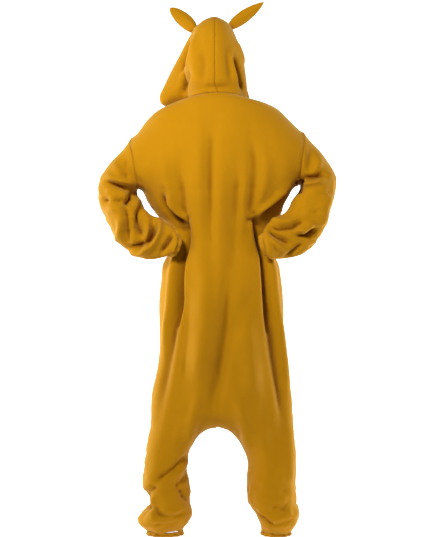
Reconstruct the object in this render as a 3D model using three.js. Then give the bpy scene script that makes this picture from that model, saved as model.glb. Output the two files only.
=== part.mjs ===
// Hooded one-piece fleece costume with two pointed ears, worn loose, arms bent to the hips.
// Millimetres, +Z up. The back faces -Y, the wearer's right is +X, and the origin is at the
// neck, between the shoulders that carry the garment. Every piece is a thin wall of cloth.
import * as THREE from "three";

// Cloth
const WALL = 2.0;
const EAR_WALL = 1.6;
const SEAM_GAP = 0.3;
const LAY_GAP = 0.3;
const SECTION_POWER = 2.2;

// Room allowed when points are picked by their place: those of a strip, and those of a flat end
const SNAP = 5;
const FLAT_WITHIN = 0.05;

// Middle of the neck, from side to side
const NECK_X = -10;

// Where the back's side folds would lie on the shoulders, as shares of the way to the armhole
const SHOULDER_FOLD = { left: 0.7, right: 0.78 };

// Armholes: where the sleeves are set in, dropped well below the shoulder. The bulges are the
// cloth's extra depth half way down them.
const ARMHOLE = { depth: 85, midY: -15, steps: 8, bulgeBack: 6, bulgeFront: 3 };

// Crotch arch between the legs
const ARCH = { x: -10, topZ: -1125, halfWidth: 105, height: 136, steps: 6, turnUnder: 75 };

// Rounding of the outer sides: the whole half width on the torso, less on the legs
const SIDE_ROUND = { leg: 75, fromZ: -900, toZ: -1290 };

// Front closing
const PLACKET = { halfWidth: 15, wall: 1.8, endZ: -697 };
const BUTTON = { count: 6, radius: 10, height: 3.4, rim: 2.2, dish: 1.1, firstZ: -75, lastZ: -640 };
const BUTTON_SEAT = { lift: 0.7, sides: 12, foot: 0.8, shoulder: 0.6, brow: 0.2, slope: 1 };

// Elastic casings at the cuffs and hems
const CUFF = { length: 18, waves: 10, swell: 1.6, seat: 0.7, middleSize: 0.97, endSize: 0.99 };
const HEM = {
  topZ: -1474, bottomZ: -1489, waves: 14, swell: 2.6, endWave: 1.3,
  seat: 0.6, drawIn: 2, flare: 3,
};
const POINTS_PER_WAVE = 4;

// Side folds: half the width of the step where the back hangs over the strip beside it
const STEP_HALF = 8;

// Heights between which the columns of the panels pass from the folds' places to even ones
const COLUMN_CHANGE = { backZ: -860, frontZ: -757, endZ: -1107 };

// Colours of the fleece and of the buttons
const FLEECE = { color: 0xc08712, roughness: 0.92, metalness: 0 };
const FLEECE_LIGHT = { color: 0xc99222, roughness: 0.92, metalness: 0 };
const HORN = { color: 0x8a5a12, roughness: 0.45, metalness: 0 };

// Turns rows of numbers into rows with named columns.
const table = (columns, rows) =>
  rows.map((row) => Object.fromEntries(columns.map((name, i) => [name, row[i]])));

// Shoulder lines from the neck to the top of the armholes
const SHOULDER = table(
  ["leftX", "leftZ", "rightX", "rightZ", "edgeY", "rise", "drop", "back", "front"],
  [
    [-105, -6, 85, -6, 0, 14, -38, 85, 75],
    [-150, -18, 124, -14, -2, 12, -37, 99, 86],
    [-190, -33, 162, -25, -4, 8, -33, 112, 95],
    [-226, -53, 196, -44, -7, 3, -24, 123, 104],
    [-258, -83, 226, -74, -10, 0, -12, 133, 111],
    [-284, -114, 256, -101, -13, 0, -4, 142, 117],
    [-306, -139, 279, -122, -15, 0, 0, 148, 121],
  ]
);

// Torso and skirt of the suit from the underarm to the arch, with the side folds of the back
const TORSO = table(
  ["z", "left", "right", "edgeY", "back", "front", "foldLeft", "foldRight", "recess"],
  [
    [-313, -279, 262, -15, 142, 128, -201, 215, 0],
    [-343, -258, 231, -12, 138, 128, -187, 197, 0.15],
    [-371, -241, 211, -9, 132, 128, -173, 178, 0.3],
    [-398, -218, 204, -6, 126, 128, -157, 150, 0.42],
    [-425, -190, 187, -3, 122, 129, -137, 124, 0.55],
    [-455, -171, 170, 0, 118, 130, -119, 127, 0.62],
    [-490, -165, 166, 0, 118, 131, -122, 136, 0.62],
    [-525, -174, 176, 0, 122, 133, -128, 142, 0.6],
    [-561, -197, 194, 0, 130, 136, -133, 146, 0.52],
    [-615, -204, 203, 0, 148, 142, -136, 149, 0.45],
    [-697, -213, 211, 0, 165, 150, -140, 153, 0.38],
    [-779, -214, 215, 0, 163, 150, -157, 161, 0.28],
    [-860, -214, 221, 0, 155, 145, -170, 172, 0.16],
    [-942, -222, 227, 0, 145, 138, -180, 183, 0.07],
    [-1023, -235, 235, 0, 133, 128, -187, 193, 0],
    [-1078, -240, 240, 0, 124, 122, -190, 197, 0],
    [-1107, -241, 242, 0, 119, 118, -191, 198, 0],
    [-1125, -242, 244, 0, 116, 116, -192, 199, 0],
  ]
);

// Legs below the arch, down to the elastic hems
const LEGS = table(
  ["z", "outerLeft", "innerLeft", "outerRight", "innerRight", "edgeY", "back", "front"],
  [
    [-1125, -242, -10, 244, -10, 0, 116, 116],
    [-1180, -254, -84, 248, 64, 0, 109, 110],
    [-1261, -265, -115, 252, 94, 0, 103, 104],
    [-1310, -268, -112, 249, 92, 0, 100, 104],
    [-1350, -258, -109, 252, 92, 2, 96, 107],
    [-1380, -246, -108, 253, 95, 6, 92, 113],
    [-1404, -265, -102, 264, 113, 12, 92, 130],
    [-1431, -286, -105, 263, 126, 20, 90, 148],
    [-1455, -282, -122, 252, 134, 22, 72, 130],
    [-1474, -252, -130, 238, 138, 22, 42, 86],
  ]
);

// Sleeves from the armhole, round the bent elbow, to the gathered wrist at the hip.
// Outer is the shoulder and elbow side of each ring, inner the underarm side.
const SLEEVE_COLUMNS = ["outerX", "outerZ", "innerX", "innerZ", "midY", "depth", "turn"];
const SLEEVE_LEFT = table(SLEEVE_COLUMNS, [
  [-306, -139, -279, -320, -15, 85, 0],
  [-350, -194, -280, -326, -18, 80, 0],
  [-388, -241, -278, -331, -24, 77, 0],
  [-415, -292, -276, -336, -30, 74, 0],
  [-421, -326, -273, -343, -35, 72, 0],
  [-408, -367, -266, -357, -39, 70, 0],
  [-384, -418, -256, -378, -44, 67, 0],
  [-357, -469, -243, -397, -50, 63, 0],
  [-323, -513, -226, -407, -60, 58, 6],
  [-277, -545, -204, -418, -70, 53, 12],
  [-235, -553, -180, -433, -80, 49, 18],
  [-197, -547, -160, -449, -90, 44, 24],
  [-180, -539, -153, -466, -93, 38, 26],
]);
const SLEEVE_RIGHT = table(SLEEVE_COLUMNS, [
  [279, -122, 262, -306, -15, 85, 0],
  [316, -165, 262, -313, -18, 80, 0],
  [354, -211, 260, -319, -24, 77, 0],
  [381, -252, 257, -324, -30, 74, 0],
  [394, -290, 252, -331, -35, 72, 0],
  [386, -333, 244, -342, -39, 70, 0],
  [367, -381, 237, -360, -44, 67, 0],
  [349, -432, 228, -382, -50, 63, 0],
  [330, -481, 214, -399, -60, 58, 6],
  [294, -518, 197, -408, -70, 53, 12],
  [247, -543, 174, -420, -80, 49, 18],
  [192, -551, 156, -438, -90, 44, 24],
  [174, -540, 147, -462, -93, 38, 26],
]);

// Hood, a row for each level from above the neck seam to the ridge of the crown. Side is the
// place beside the nape, lobe the loose cloth that bulges over the shoulder, and edge the rim
// of the face opening.
const HOOD = table(
  [
    "backY", "backZ", "sideZ", "lobeZ", "edgeY", "edgeZ",
    "sideLeft", "lobeLeft", "edgeLeft", "sideRight", "lobeRight", "edgeRight",
  ],
  [
    [-91, 32, 22, -16, 88, -24, -112, -150, -62, 90, 92, 48],
    [-97, 52, 42, -20, 100, -10, -122, -200, -100, 87, 94, 62],
    [-101, 74, 60, 6, 108, 14, -122, -211, -124, 84, 92, 70],
    [-103, 95, 78, 40, 113, 42, -121, -198, -134, 81, 89, 74],
    [-106, 130, 115, 84, 117, 84, -119, -178, -134, 76, 85, 72],
    [-106, 163, 152, 126, 119, 126, -115, -155, -124, 69, 76, 66],
    [-101, 193, 188, 168, 119, 168, -110, -131, -110, 58, 62, 55],
    [-91, 219, 220, 206, 117, 205, -99, -109, -93, 45, 47, 42],
    [-78, 239, 245, 236, 113, 232, -79, -83, -70, 31, 31, 26],
    [-62, 254, 262, 254, 108, 250, -56, -54, -44, 8, 6, 2],
    [-46, 263, 275, 268, 104, 260, -21, -21, -21, -21, -21, -21],
  ]
);
const HOOD_SEAM = { x: -21, sideY: 5, lastAngle: 0.95 * Math.PI, seat: 0.6 };

// Ears: a leaf with its foot pinched round on the hood, and its rim curled forward
const EARS = table(
  ["name", "side", "angle", "level", "footSpan", "lift", "tipX", "tipY", "tipZ", "halfWidth", "cup"],
  [
    ["ear_left", -1, 0.5, 8.62, 0.62, -0.3, -173, 8, 306, 27, 14],
    ["ear_right", 1, 0.5, 9.0, 0.62, 0.3, 146, 2, 323, 22, 12],
  ]
);
const EAR_STEPS = { across: 6, along: 8 };

// Form of both ears: how far the foot's ends turn round the hood and stand up, where on its sine
// the leaf starts, how it fills out, its least share of width, its bow and the foot's hold on it
const EAR_FORM = { footTurn: 0.09, footCurve: 2.4, start: 0.14, fill: 0.8, least: 0.05, bow: 10, hold: 3 };

// Largest folds: a hollow (positive depth) or ridge (negative) along a line seen from behind
// or, with face 1, from the front
const FOLDS = table(
  ["face", "x0", "z0", "x1", "z1", "depth", "width"],
  [
    [-1, -129, -180, -126, -400, 6, 26],
    [-1, -71, -214, -75, -486, -5, 27],
    [-1, -34, -150, -38, -280, 4, 22],
    [-1, -3, -248, -6, -656, -5, 28],
    [-1, 54, -282, 50, -452, 4, 24],
    [-1, 99, -190, 96, -411, 7, 24],
    [-1, -71, -690, -88, -1030, -6, 34],
    [-1, 24, -690, 37, -792, 7, 30],
    [-1, 37, -792, 14, -979, 7, 30],
    [-1, 14, -979, -31, -1090, 6, 28],
    [-1, 139, -639, 65, -724, 6, 24],
    [-1, 82, -800, 88, -990, -5, 30],
    [-1, 146, -656, 150, -1000, 6, 26],
    [-1, -384, -292, -286, -318, 7, 15],
    [-1, -265, -377, -272, -479, 6, 16],
    [-1, -306, -513, -235, -480, 7, 15],
    [-1, 269, -287, 347, -271, 7, 15],
    [-1, 258, -483, 316, -449, 6, 16],
    [-1, -109, -1210, -190, -1278, -5, 18],
    [-1, -120, -1250, -200, -1315, 6, 18],
    [1, -96, -170, -70, -420, 7, 26],
    [1, 92, -180, 60, -430, 7, 26],
    [1, -150, -330, -90, -560, 6, 24],
    [1, 150, -330, 84, -570, 6, 24],
    [1, -96, -640, -110, -960, -6, 30],
    [1, 70, -620, 110, -980, 6, 30],
    [1, 290, -300, 350, -290, 6, 16],
    [1, -300, -310, -380, -300, 6, 16],
    [1, -150, -1330, -230, -1300, 6, 18],
    [1, 130, -1320, 220, -1345, 6, 18],
  ]
);

// How soon a fold reaches its full depth where the cloth turns away from its face
const FOLD_FACING = 1.6;

// Columns of the panels, for each half, from the side seam to the middle
const STRIP_COLUMNS = 4;
const BACK_COLUMNS = 6;
const FRONT_COLUMNS = 8;

const lerp = (a, b, t) => a + (b - a) * t;
const clamp = (value, low, high) => Math.min(high, Math.max(low, value));
const ease = (low, high, value) => {
  const t = clamp((value - low) / (high - low), 0, 1);
  return t * t * (3 - 2 * t);
};

// Smooth curve through equally spaced values, at a place given in steps.
function through(values, at) {
  const i = clamp(Math.floor(at), 0, values.length - 2);
  const t = at - i;
  const before = values[Math.max(i - 1, 0)];
  const start = values[i];
  const end = values[i + 1];
  const after = values[Math.min(i + 2, values.length - 1)];
  const slopeIn = i === 0 ? end - start : (end - before) / 2;
  const slopeOut = i === values.length - 2 ? end - start : (after - start) / 2;
  const t2 = t * t;
  const t3 = t2 * t;
  return (
    (2 * t3 - 3 * t2 + 1) * start +
    (t3 - 2 * t2 + t) * slopeIn +
    (3 * t2 - 2 * t3) * end +
    (t3 - t2) * slopeOut
  );
}

// A named column of a table between two rows that enclose a height.
function atHeight(rows, column, z) {
  const below = rows.findIndex((row) => row.z <= z);
  const i = below < 1 ? (below < 0 ? rows.length - 1 : 1) : below;
  const t = clamp((z - rows[i - 1].z) / (rows[i].z - rows[i - 1].z), 0, 1);
  return lerp(rows[i - 1][column], rows[i][column], t);
}

// Height of the section's curve at a share of its half width, 1 in the middle and 0 at the ends.
const crown = (share) =>
  Math.pow(Math.max(0, 1 - Math.pow(Math.min(1, Math.abs(share)), SECTION_POWER)), 1 / SECTION_POWER);

// One row of the suit above the arch, as plain sizes for its sections.
function shoulderRow(row) {
  return {
    left: { x: row.leftX, z: row.leftZ },
    right: { x: row.rightX, z: row.rightZ },
    edgeY: row.edgeY,
    armhole: 0,
    back: row.back,
    front: row.front,
    rise: row.rise,
    drop: row.drop,
    foldLeft: lerp(NECK_X, row.leftX, SHOULDER_FOLD.left),
    foldRight: lerp(NECK_X, row.rightX, SHOULDER_FOLD.right),
    recess: 0,
  };
}

function armholeRow(angle) {
  const end = (ring) => ({
    x: (ring.outerX + ring.innerX) / 2 + ((ring.outerX - ring.innerX) / 2) * Math.cos(angle),
    z: (ring.outerZ + ring.innerZ) / 2 + ((ring.outerZ - ring.innerZ) / 2) * Math.cos(angle),
  });
  const top = SHOULDER[SHOULDER.length - 1];
  const under = TORSO[0];
  const way = (1 - Math.cos(angle)) / 2;
  const bulge = 1 - Math.pow(2 * way - 1, 2);
  const left = end(SLEEVE_LEFT[0]);
  const right = end(SLEEVE_RIGHT[0]);
  return {
    left,
    right,
    edgeY: ARMHOLE.midY,
    armhole: ARMHOLE.depth * Math.sin(angle),
    back: lerp(top.back, under.back, way) + ARMHOLE.bulgeBack * bulge,
    front: lerp(top.front, under.front, way) + ARMHOLE.bulgeFront * bulge,
    rise: 0,
    drop: 0,
    foldLeft: lerp(lerp(NECK_X, top.leftX, SHOULDER_FOLD.left), under.foldLeft, way),
    foldRight: lerp(lerp(NECK_X, top.rightX, SHOULDER_FOLD.right), under.foldRight, way),
    recess: 0,
  };
}

function torsoRow(row) {
  return {
    left: { x: row.left, z: row.z },
    right: { x: row.right, z: row.z },
    edgeY: row.edgeY,
    armhole: 0,
    back: row.back,
    front: row.front,
    rise: 0,
    drop: 0,
    foldLeft: row.foldLeft,
    foldRight: row.foldRight,
    recess: row.recess,
  };
}

function suitRows() {
  const rows = SHOULDER.slice(0, -1).map(shoulderRow);
  for (let i = 0; i <= ARMHOLE.steps; i += 1) rows.push(armholeRow((Math.PI * i) / ARMHOLE.steps));
  return rows.concat(TORSO.slice(1).map(torsoRow));
}

// Fullness of the suit at a distance from its outer side, 0 at the side and 1 past the rounding.
function sideFullness(distance, halfWidth, z, legHalf = SIDE_ROUND.leg) {
  const legReach = Math.min(SIDE_ROUND.leg, legHalf);
  const reach = lerp(halfWidth, legReach, ease(SIDE_ROUND.fromZ, SIDE_ROUND.toZ, z));
  return crown(1 - clamp(distance / reach, 0, 1));
}

const turnUnder = (distance) => Math.sqrt(1 - (1 - clamp(distance / ARCH.turnUnder, 0, 1)) ** 2);

// Fullness beside the arch: the cloth turns under to the inseam, which runs round the arch.
function archFullness(x, z) {
  const middleZ = ARCH.topZ - ARCH.height;
  const span = Math.hypot(x - ARCH.x, z - middleZ);
  const ratio = Math.hypot((x - ARCH.x) / ARCH.halfWidth, (z - middleZ) / ARCH.height);
  return turnUnder(span * Math.max(0, 1 - 1 / ratio));
}

// A point of the suit above the arch, on the back (face -1) or the front (face 1).
function suitPoint(row, x, face) {
  const middle = (row.left.x + row.right.x) / 2;
  const half = (row.right.x - row.left.x) / 2;
  const share = clamp((x - middle) / half, -1, 1);
  const height = lerp(row.left.z, row.right.z, (share + 1) / 2);
  const reach = face < 0 ? row.back + row.edgeY : row.front - row.edgeY;
  const round = sideFullness(half * (1 - Math.abs(share)), half, height);
  let depth = Math.sqrt(row.armhole ** 2 + (reach ** 2 - row.armhole ** 2) * round ** 2);
  depth *= archFullness(x, height);
  if (face < 0) {
    const past = Math.max(row.foldLeft - x, x - row.foldRight);
    depth *= 1 - row.recess * ease(-STEP_HALF, STEP_HALF, past);
  }
  const lift = (face < 0 ? row.rise : row.drop) * (1 - share ** 2);
  return new THREE.Vector3(x, row.edgeY + face * depth, height + lift);
}

// Places of the columns of one half panel above the arch, from the side seam to the middle.
function columnPlaces(row, side, face) {
  const edge = side < 0 ? row.left.x : row.right.x;
  const places = [];
  if (face < 0) {
    const fold = side < 0 ? row.foldLeft : row.foldRight;
    const foldOut = fold + side * STEP_HALF;
    const foldIn = fold - side * STEP_HALF;
    for (let i = 0; i <= STRIP_COLUMNS; i += 1) {
      places.push(lerp(edge, foldOut, 1 - Math.cos((Math.PI * i) / (2 * STRIP_COLUMNS))));
    }
    for (let i = 0; i <= BACK_COLUMNS; i += 1) places.push(lerp(foldIn, ARCH.x, i / BACK_COLUMNS));
  } else {
    const placketEdge = ARCH.x + side * PLACKET.halfWidth;
    for (let i = 0; i <= FRONT_COLUMNS; i += 1) {
      places.push(lerp(edge, placketEdge, 1 - Math.cos((Math.PI * i) / (2 * FRONT_COLUMNS))));
    }
    places.push(ARCH.x);
  }
  const height = row.left.z;
  const change = ease(face < 0 ? COLUMN_CHANGE.backZ : COLUMN_CHANGE.frontZ, COLUMN_CHANGE.endZ, height);
  const count = places.length - 1;
  return places.map((x, i) => lerp(x, lerp(edge, ARCH.x, (1 - Math.cos((Math.PI * i) / count)) / 2), change));
}

// Heights of the rows of a leg: evenly round the arch, then the rows of the table.
function legHeights() {
  const heights = [];
  for (let i = 1; i <= ARCH.steps; i += 1) {
    heights.push(ARCH.topZ - ARCH.height * (1 - Math.cos((Math.PI * i) / (2 * ARCH.steps))));
  }
  return heights.concat(LEGS.filter((row) => row.z < ARCH.topZ - ARCH.height - 1).map((row) => row.z));
}

// Sizes of one leg at a height: its two ends, the place of its seams and its depths.
function legRow(z, side) {
  const name = side < 0 ? "Left" : "Right";
  const drop = (ARCH.topZ - z) / ARCH.height;
  const archX = ARCH.x + side * ARCH.halfWidth * Math.sqrt(Math.max(0, 1 - (1 - drop) ** 2));
  return {
    z,
    outer: atHeight(LEGS, `outer${name}`, z),
    inner: drop < 1 ? archX : atHeight(LEGS, `inner${name}`, z),
    suitHalf: (atHeight(LEGS, "outerRight", z) - atHeight(LEGS, "outerLeft", z)) / 2,
    edgeY: atHeight(LEGS, "edgeY", z),
    back: atHeight(LEGS, "back", z),
    front: atHeight(LEGS, "front", z),
  };
}

function legPoint(row, share, face) {
  const x = lerp(row.outer, row.inner, share);
  const half = Math.abs(row.inner - row.outer) / 2;
  const reach = face < 0 ? row.back + row.edgeY : row.front - row.edgeY;
  const outside = sideFullness(Math.abs(x - row.outer), row.suitHalf, row.z, half);
  const besideArch = row.z > ARCH.topZ - ARCH.height;
  const inside = besideArch
    ? archFullness(x, row.z)
    : turnUnder((Math.abs(x - row.inner) * ARCH.turnUnder) / half);
  return new THREE.Vector3(x, row.edgeY + face * reach * outside * inside, row.z);
}

// Rows of points of one half panel, from the neck to the hem.
function halfPanel(side, face) {
  const rows = suitRows().map((row) => columnPlaces(row, side, face).map((x) => suitPoint(row, x, face)));
  const count = rows[0].length - 1;
  for (const z of legHeights()) {
    const row = legRow(z, side);
    const line = [];
    for (let i = 0; i <= count; i += 1) {
      line.push(legPoint(row, (1 - Math.cos((Math.PI * i) / count)) / 2, face));
    }
    rows.push(line);
  }
  return rows;
}

// A ring of a sleeve: centre, half the line from inner to outer, and the depth towards the back,
// swung towards the body where the sleeve's end turns in.
function sleeveFrame(row) {
  const centre = new THREE.Vector3((row.outerX + row.innerX) / 2, row.midY, (row.outerZ + row.innerZ) / 2);
  const up = new THREE.Vector3((row.outerX - row.innerX) / 2, 0, (row.outerZ - row.innerZ) / 2);
  const across = new THREE.Vector3(up.z, 0, -up.x).normalize();
  if (across.x * centre.x > 0) across.negate();
  const turn = THREE.MathUtils.degToRad(row.turn);
  const back = new THREE.Vector3(0, -Math.cos(turn), 0).addScaledVector(across, Math.sin(turn));
  const onward = new THREE.Vector3(0, Math.sin(turn), 0).addScaledVector(across, Math.cos(turn));
  return { centre, up, back: back.multiplyScalar(row.depth), onward };
}

function ringPoint(frame, angle, swell = 1) {
  return frame.centre
    .clone()
    .addScaledVector(frame.up, Math.cos(angle) * swell)
    .addScaledVector(frame.back, Math.sin(angle) * swell);
}

function sleeveRows(rings) {
  const count = 2 * ARMHOLE.steps;
  return rings.map((row) => {
    const frame = sleeveFrame(row);
    const line = [];
    for (let i = 0; i < count; i += 1) line.push(ringPoint(frame, (2 * Math.PI * i) / count));
    return line.concat([line[0].clone()]);
  });
}

// Neck seam of the hood, on the same places as the neck edge of the suit. The angles, from the
// middle of the back round to the face opening, are the same on both halves of the hood.
function neckPlaces(side) {
  const row = shoulderRow(SHOULDER[0]);
  const back = columnPlaces(row, side, -1).reverse().map((x) => suitPoint(row, x, -1));
  const front = columnPlaces(row, side, 1).slice(1, -1).map((x) => suitPoint(row, x, 1));
  const quarter = back.length - 1;
  const angle = (i) =>
    i <= quarter
      ? (Math.PI / 2) * (i / quarter)
      : lerp(Math.PI / 2, HOOD_SEAM.lastAngle, (i - quarter) / front.length);
  return back.concat(front).map((point, i) => ({ point, angle: angle(i) }));
}

// Curve through three values: at the start, half way and at the end.
const throughThree = (start, half, end, way) =>
  start * (1 - way) * (1 - 2 * way) + half * 4 * way * (1 - way) + end * way * (2 * way - 1);

// A point of one level of the hood, at an angle from the middle of the back.
function hoodLevelPoint(row, side, angle) {
  const name = side < 0 ? "Left" : "Right";
  const sideX = row[`side${name}`];
  if (angle <= Math.PI / 2) {
    const turn = Math.sin(angle);
    return new THREE.Vector3(
      lerp(HOOD_SEAM.x, sideX, turn),
      lerp(HOOD_SEAM.sideY, row.backY, Math.cos(angle)),
      lerp(row.backZ, row.sideZ, turn * turn)
    );
  }
  const way = (angle - Math.PI / 2) / (HOOD_SEAM.lastAngle - Math.PI / 2);
  return new THREE.Vector3(
    throughThree(sideX, row[`lobe${name}`], row[`edge${name}`], way),
    lerp(HOOD_SEAM.sideY, row.edgeY, way),
    throughThree(row.sideZ, row.lobeZ, row.edgeZ, way)
  );
}

// A point of the hood: the neck seam is level 0 and the ridge of the crown the last level.
function hoodPoint(side, place, level) {
  const seat = place.point.clone().add(new THREE.Vector3(0, 0, HOOD_SEAM.seat));
  const line = [seat].concat(HOOD.map((row) => hoodLevelPoint(row, side, place.angle)));
  return new THREE.Vector3(
    through(line.map((p) => p.x), level),
    through(line.map((p) => p.y), level),
    through(line.map((p) => p.z), level)
  );
}

function hoodRows(side) {
  const places = neckPlaces(side);
  const rows = [];
  for (let level = 0; level <= HOOD.length; level += 1) {
    rows.push(places.map((place) => hoodPoint(side, place, level)));
  }
  return rows;
}

// An ear as rows of points from its foot on the hood to its tip.
function earRows(ear) {
  const foot = (across) => {
    const angle = Math.PI * (ear.angle + EAR_FORM.footTurn * across * across);
    const place = { point: new THREE.Vector3(), angle };
    return hoodPoint(ear.side, place, ear.level + (ear.footSpan / 2) * across);
  };
  const middle = foot(0);
  const length = new THREE.Vector3(ear.tipX, ear.tipY, ear.tipZ).sub(middle);
  const along = length.clone().normalize();
  const span = foot(1).sub(foot(-1));
  const width = span.addScaledVector(along, -span.dot(along)).normalize();
  const forward = new THREE.Vector3().crossVectors(along, width);
  if (forward.y < 0) forward.negate();
  const rows = [];
  for (let i = 0; i <= EAR_STEPS.along; i += 1) {
    const way = i / EAR_STEPS.along;
    const leafShare = Math.sin(Math.PI * Math.pow(lerp(EAR_FORM.start, 1, way), EAR_FORM.fill));
    const half = ear.halfWidth * Math.max(EAR_FORM.least, leafShare);
    const line = [];
    for (let j = -EAR_STEPS.across / 2; j <= EAR_STEPS.across / 2; j += 1) {
      const across = (2 * j) / EAR_STEPS.across;
      const leaf = middle
        .clone()
        .addScaledVector(length, way)
        .addScaledVector(width, half * across)
        .addScaledVector(forward, ear.cup * across * across * Math.sin(Math.PI * way))
        .addScaledVector(forward, EAR_FORM.bow * way * (1 - way));
      const seat = foot(across).addScaledVector(along, ear.lift + EAR_FORM.footCurve * across * across);
      line.push(leaf.lerp(seat, Math.pow(1 - way, EAR_FORM.hold)));
    }
    rows.push(line);
  }
  return rows;
}

// A sheet of cloth: its outer points, each used once, and its triangles facing out.
class Sheet {
  constructor(name, finish, wall = WALL) {
    this.name = name;
    this.finish = finish;
    this.wall = wall;
    this.points = [];
    this.faces = [];
    this.places = new Map();
  }

  static key(point) {
    return `${Math.round(point.x * 50)},${Math.round(point.y * 50)},${Math.round(point.z * 50)}`;
  }

  index(point) {
    const key = Sheet.key(point);
    if (!this.places.has(key)) {
      this.places.set(key, this.points.length);
      this.points.push(point.clone());
    }
    return this.places.get(key);
  }

  // Adds a grid of points; flip turns its triangles to face the other way.
  addGrid(rows, flip) {
    for (let r = 0; r + 1 < rows.length; r += 1) {
      for (let c = 0; c + 1 < rows[r].length; c += 1) {
        const corners = [rows[r][c], rows[r][c + 1], rows[r + 1][c + 1], rows[r + 1][c]];
        const [a, b, d, e] = corners.map((point) => this.index(point));
        this.addFace(a, b, e, flip);
        this.addFace(b, d, e, flip);
      }
    }
    return this;
  }

  addFace(a, b, c, flip) {
    if (a === b || b === c || c === a) return;
    this.faces.push(flip ? [a, c, b] : [a, b, c]);
  }
}

// Sums the directions of the faces round each point, over all the sheets given, so that
// pieces that meet at a seam share the direction of their edges.
function sharedDirections(sheets) {
  const sums = new Map();
  for (const sheet of sheets) {
    const own = sheet.points.map(() => new THREE.Vector3());
    for (const face of sheet.faces) {
      const [a, b, c] = face.map((i) => sheet.points[i]);
      const normal = new THREE.Vector3().crossVectors(b.clone().sub(a), c.clone().sub(a));
      for (const i of face) own[i].add(normal);
    }
    own.forEach((normal, i) => {
      const key = Sheet.key(sheet.points[i]);
      sums.set(key, (sums.get(key) ?? new THREE.Vector3()).add(normal.normalize()));
    });
  }
  for (const sum of sums.values()) sum.normalize();
  return sums;
}

// Lays the directions of a sheet's points flat in a plane, for the points that lie on it, so
// that two pieces that meet end to end keep their gap through the whole wall.
function layFlat(sheet, directions, centre, across) {
  sheet.points.forEach((point, i) => {
    if (Math.abs(point.clone().sub(centre).dot(across)) > FLAT_WITHIN) return;
    directions[i] = directions[i].clone().addScaledVector(across, -directions[i].dot(across)).normalize();
  });
}

// Distance from a point to a line's length, as seen from behind.
function foldDistance(fold, point) {
  const dx = fold.x1 - fold.x0;
  const dz = fold.z1 - fold.z0;
  const way = clamp(((point.x - fold.x0) * dx + (point.z - fold.z0) * dz) / (dx * dx + dz * dz), 0, 1);
  return Math.hypot(point.x - fold.x0 - way * dx, point.z - fold.z0 - way * dz);
}

// Presses the folds into the sheets, along the direction of the cloth.
function pressFolds(sheets) {
  const directions = sharedDirections(sheets);
  for (const sheet of sheets) {
    sheet.points.forEach((point) => {
      const normal = directions.get(Sheet.key(point));
      let push = 0;
      for (const fold of FOLDS) {
        const facing = clamp(fold.face * normal.y * FOLD_FACING, 0, 1);
        push -= facing * fold.depth * Math.exp(-((foldDistance(fold, point) / fold.width) ** 2));
      }
      point.addScaledVector(normal, push);
    });
  }
}

// Edges that only one triangle uses, as pairs of point numbers in the triangle's order.
function rimEdges(faces) {
  const open = new Map();
  for (const [a, b, c] of faces) {
    for (const [from, to] of [[a, b], [b, c], [c, a]]) {
      if (!open.delete(`${to},${from}`)) open.set(`${from},${to}`, [from, to, [a, b, c]]);
    }
  }
  return [...open.values()];
}

// Draws the edges of a sheet back by half a seam's gap.
function drawBack(sheet, gap) {
  const inward = new Map();
  for (const [from, to, face] of rimEdges(sheet.faces)) {
    const [a, b, c] = face.map((i) => sheet.points[i]);
    const normal = new THREE.Vector3().crossVectors(b.clone().sub(a), c.clone().sub(a)).normalize();
    const edge = sheet.points[to].clone().sub(sheet.points[from]).normalize();
    const inside = normal.cross(edge);
    for (const i of [from, to]) inward.set(i, (inward.get(i) ?? []).concat([inside]));
  }
  for (const [i, ways] of inward) {
    const sum = ways.reduce((total, way) => total.add(way), new THREE.Vector3());
    const miter = ways.length / Math.max(0.5, sum.lengthSq() / ways.length);
    sheet.points[i].addScaledVector(sum, (gap * miter) / ways.length);
  }
}

// Orders the two ends of a rim's edge, so that the pieces on both sides of a seam split the
// faces of their rims along the same line.
const RIM_ORDER = new THREE.Vector3(0.37, 0.61, 1);
const rimScore = (point) => point.dot(RIM_ORDER);

// Gives a sheet its wall: outer points, inner points set back along the cloth, and the rims.
// Lift moves the whole wall out, for a piece that lies on another.
function thicken(sheet, directions, lift = 0) {
  const outer = sheet.points.map((point, i) => point.clone().addScaledVector(directions[i], lift));
  const inner = outer.map((point, i) => point.clone().addScaledVector(directions[i], -sheet.wall));
  const count = outer.length;
  const positions = outer.concat(inner).flatMap((point) => point.toArray());
  const index = [];
  for (const [a, b, c] of sheet.faces) index.push(a, b, c, a + count, c + count, b + count);
  for (const [from, to] of rimEdges(sheet.faces)) {
    if (rimScore(sheet.points[from]) > rimScore(sheet.points[to])) {
      index.push(to, from, to + count, from, from + count, to + count);
    } else {
      index.push(to, from, from + count, to, from + count, to + count);
    }
  }
  return meshOf(sheet.name, positions, index, sheet.finish);
}

function meshOf(name, positions, index, finish) {
  const geometry = new THREE.BufferGeometry();
  geometry.setAttribute("position", new THREE.Float32BufferAttribute(positions, 3));
  geometry.setIndex(index);
  geometry.computeVertexNormals();
  const mesh = new THREE.Mesh(geometry, new THREE.MeshStandardMaterial(finish));
  mesh.name = name;
  return mesh;
}

// The suit: back, two fronts and two sleeves, which share the points of their seams
function suitSheets() {
  const back = new Sheet("back", FLEECE)
    .addGrid(halfPanel(-1, -1), true)
    .addGrid(halfPanel(1, -1), false);
  const frontLeft = new Sheet("front_left", FLEECE).addGrid(halfPanel(-1, 1), false);
  const frontRight = new Sheet("front_right", FLEECE).addGrid(halfPanel(1, 1), true);
  const sleeveLeft = new Sheet("sleeve_left", FLEECE).addGrid(sleeveRows(SLEEVE_LEFT), true);
  const sleeveRight = new Sheet("sleeve_right", FLEECE).addGrid(sleeveRows(SLEEVE_RIGHT), false);
  return [back, frontLeft, frontRight, sleeveLeft, sleeveRight];
}

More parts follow.
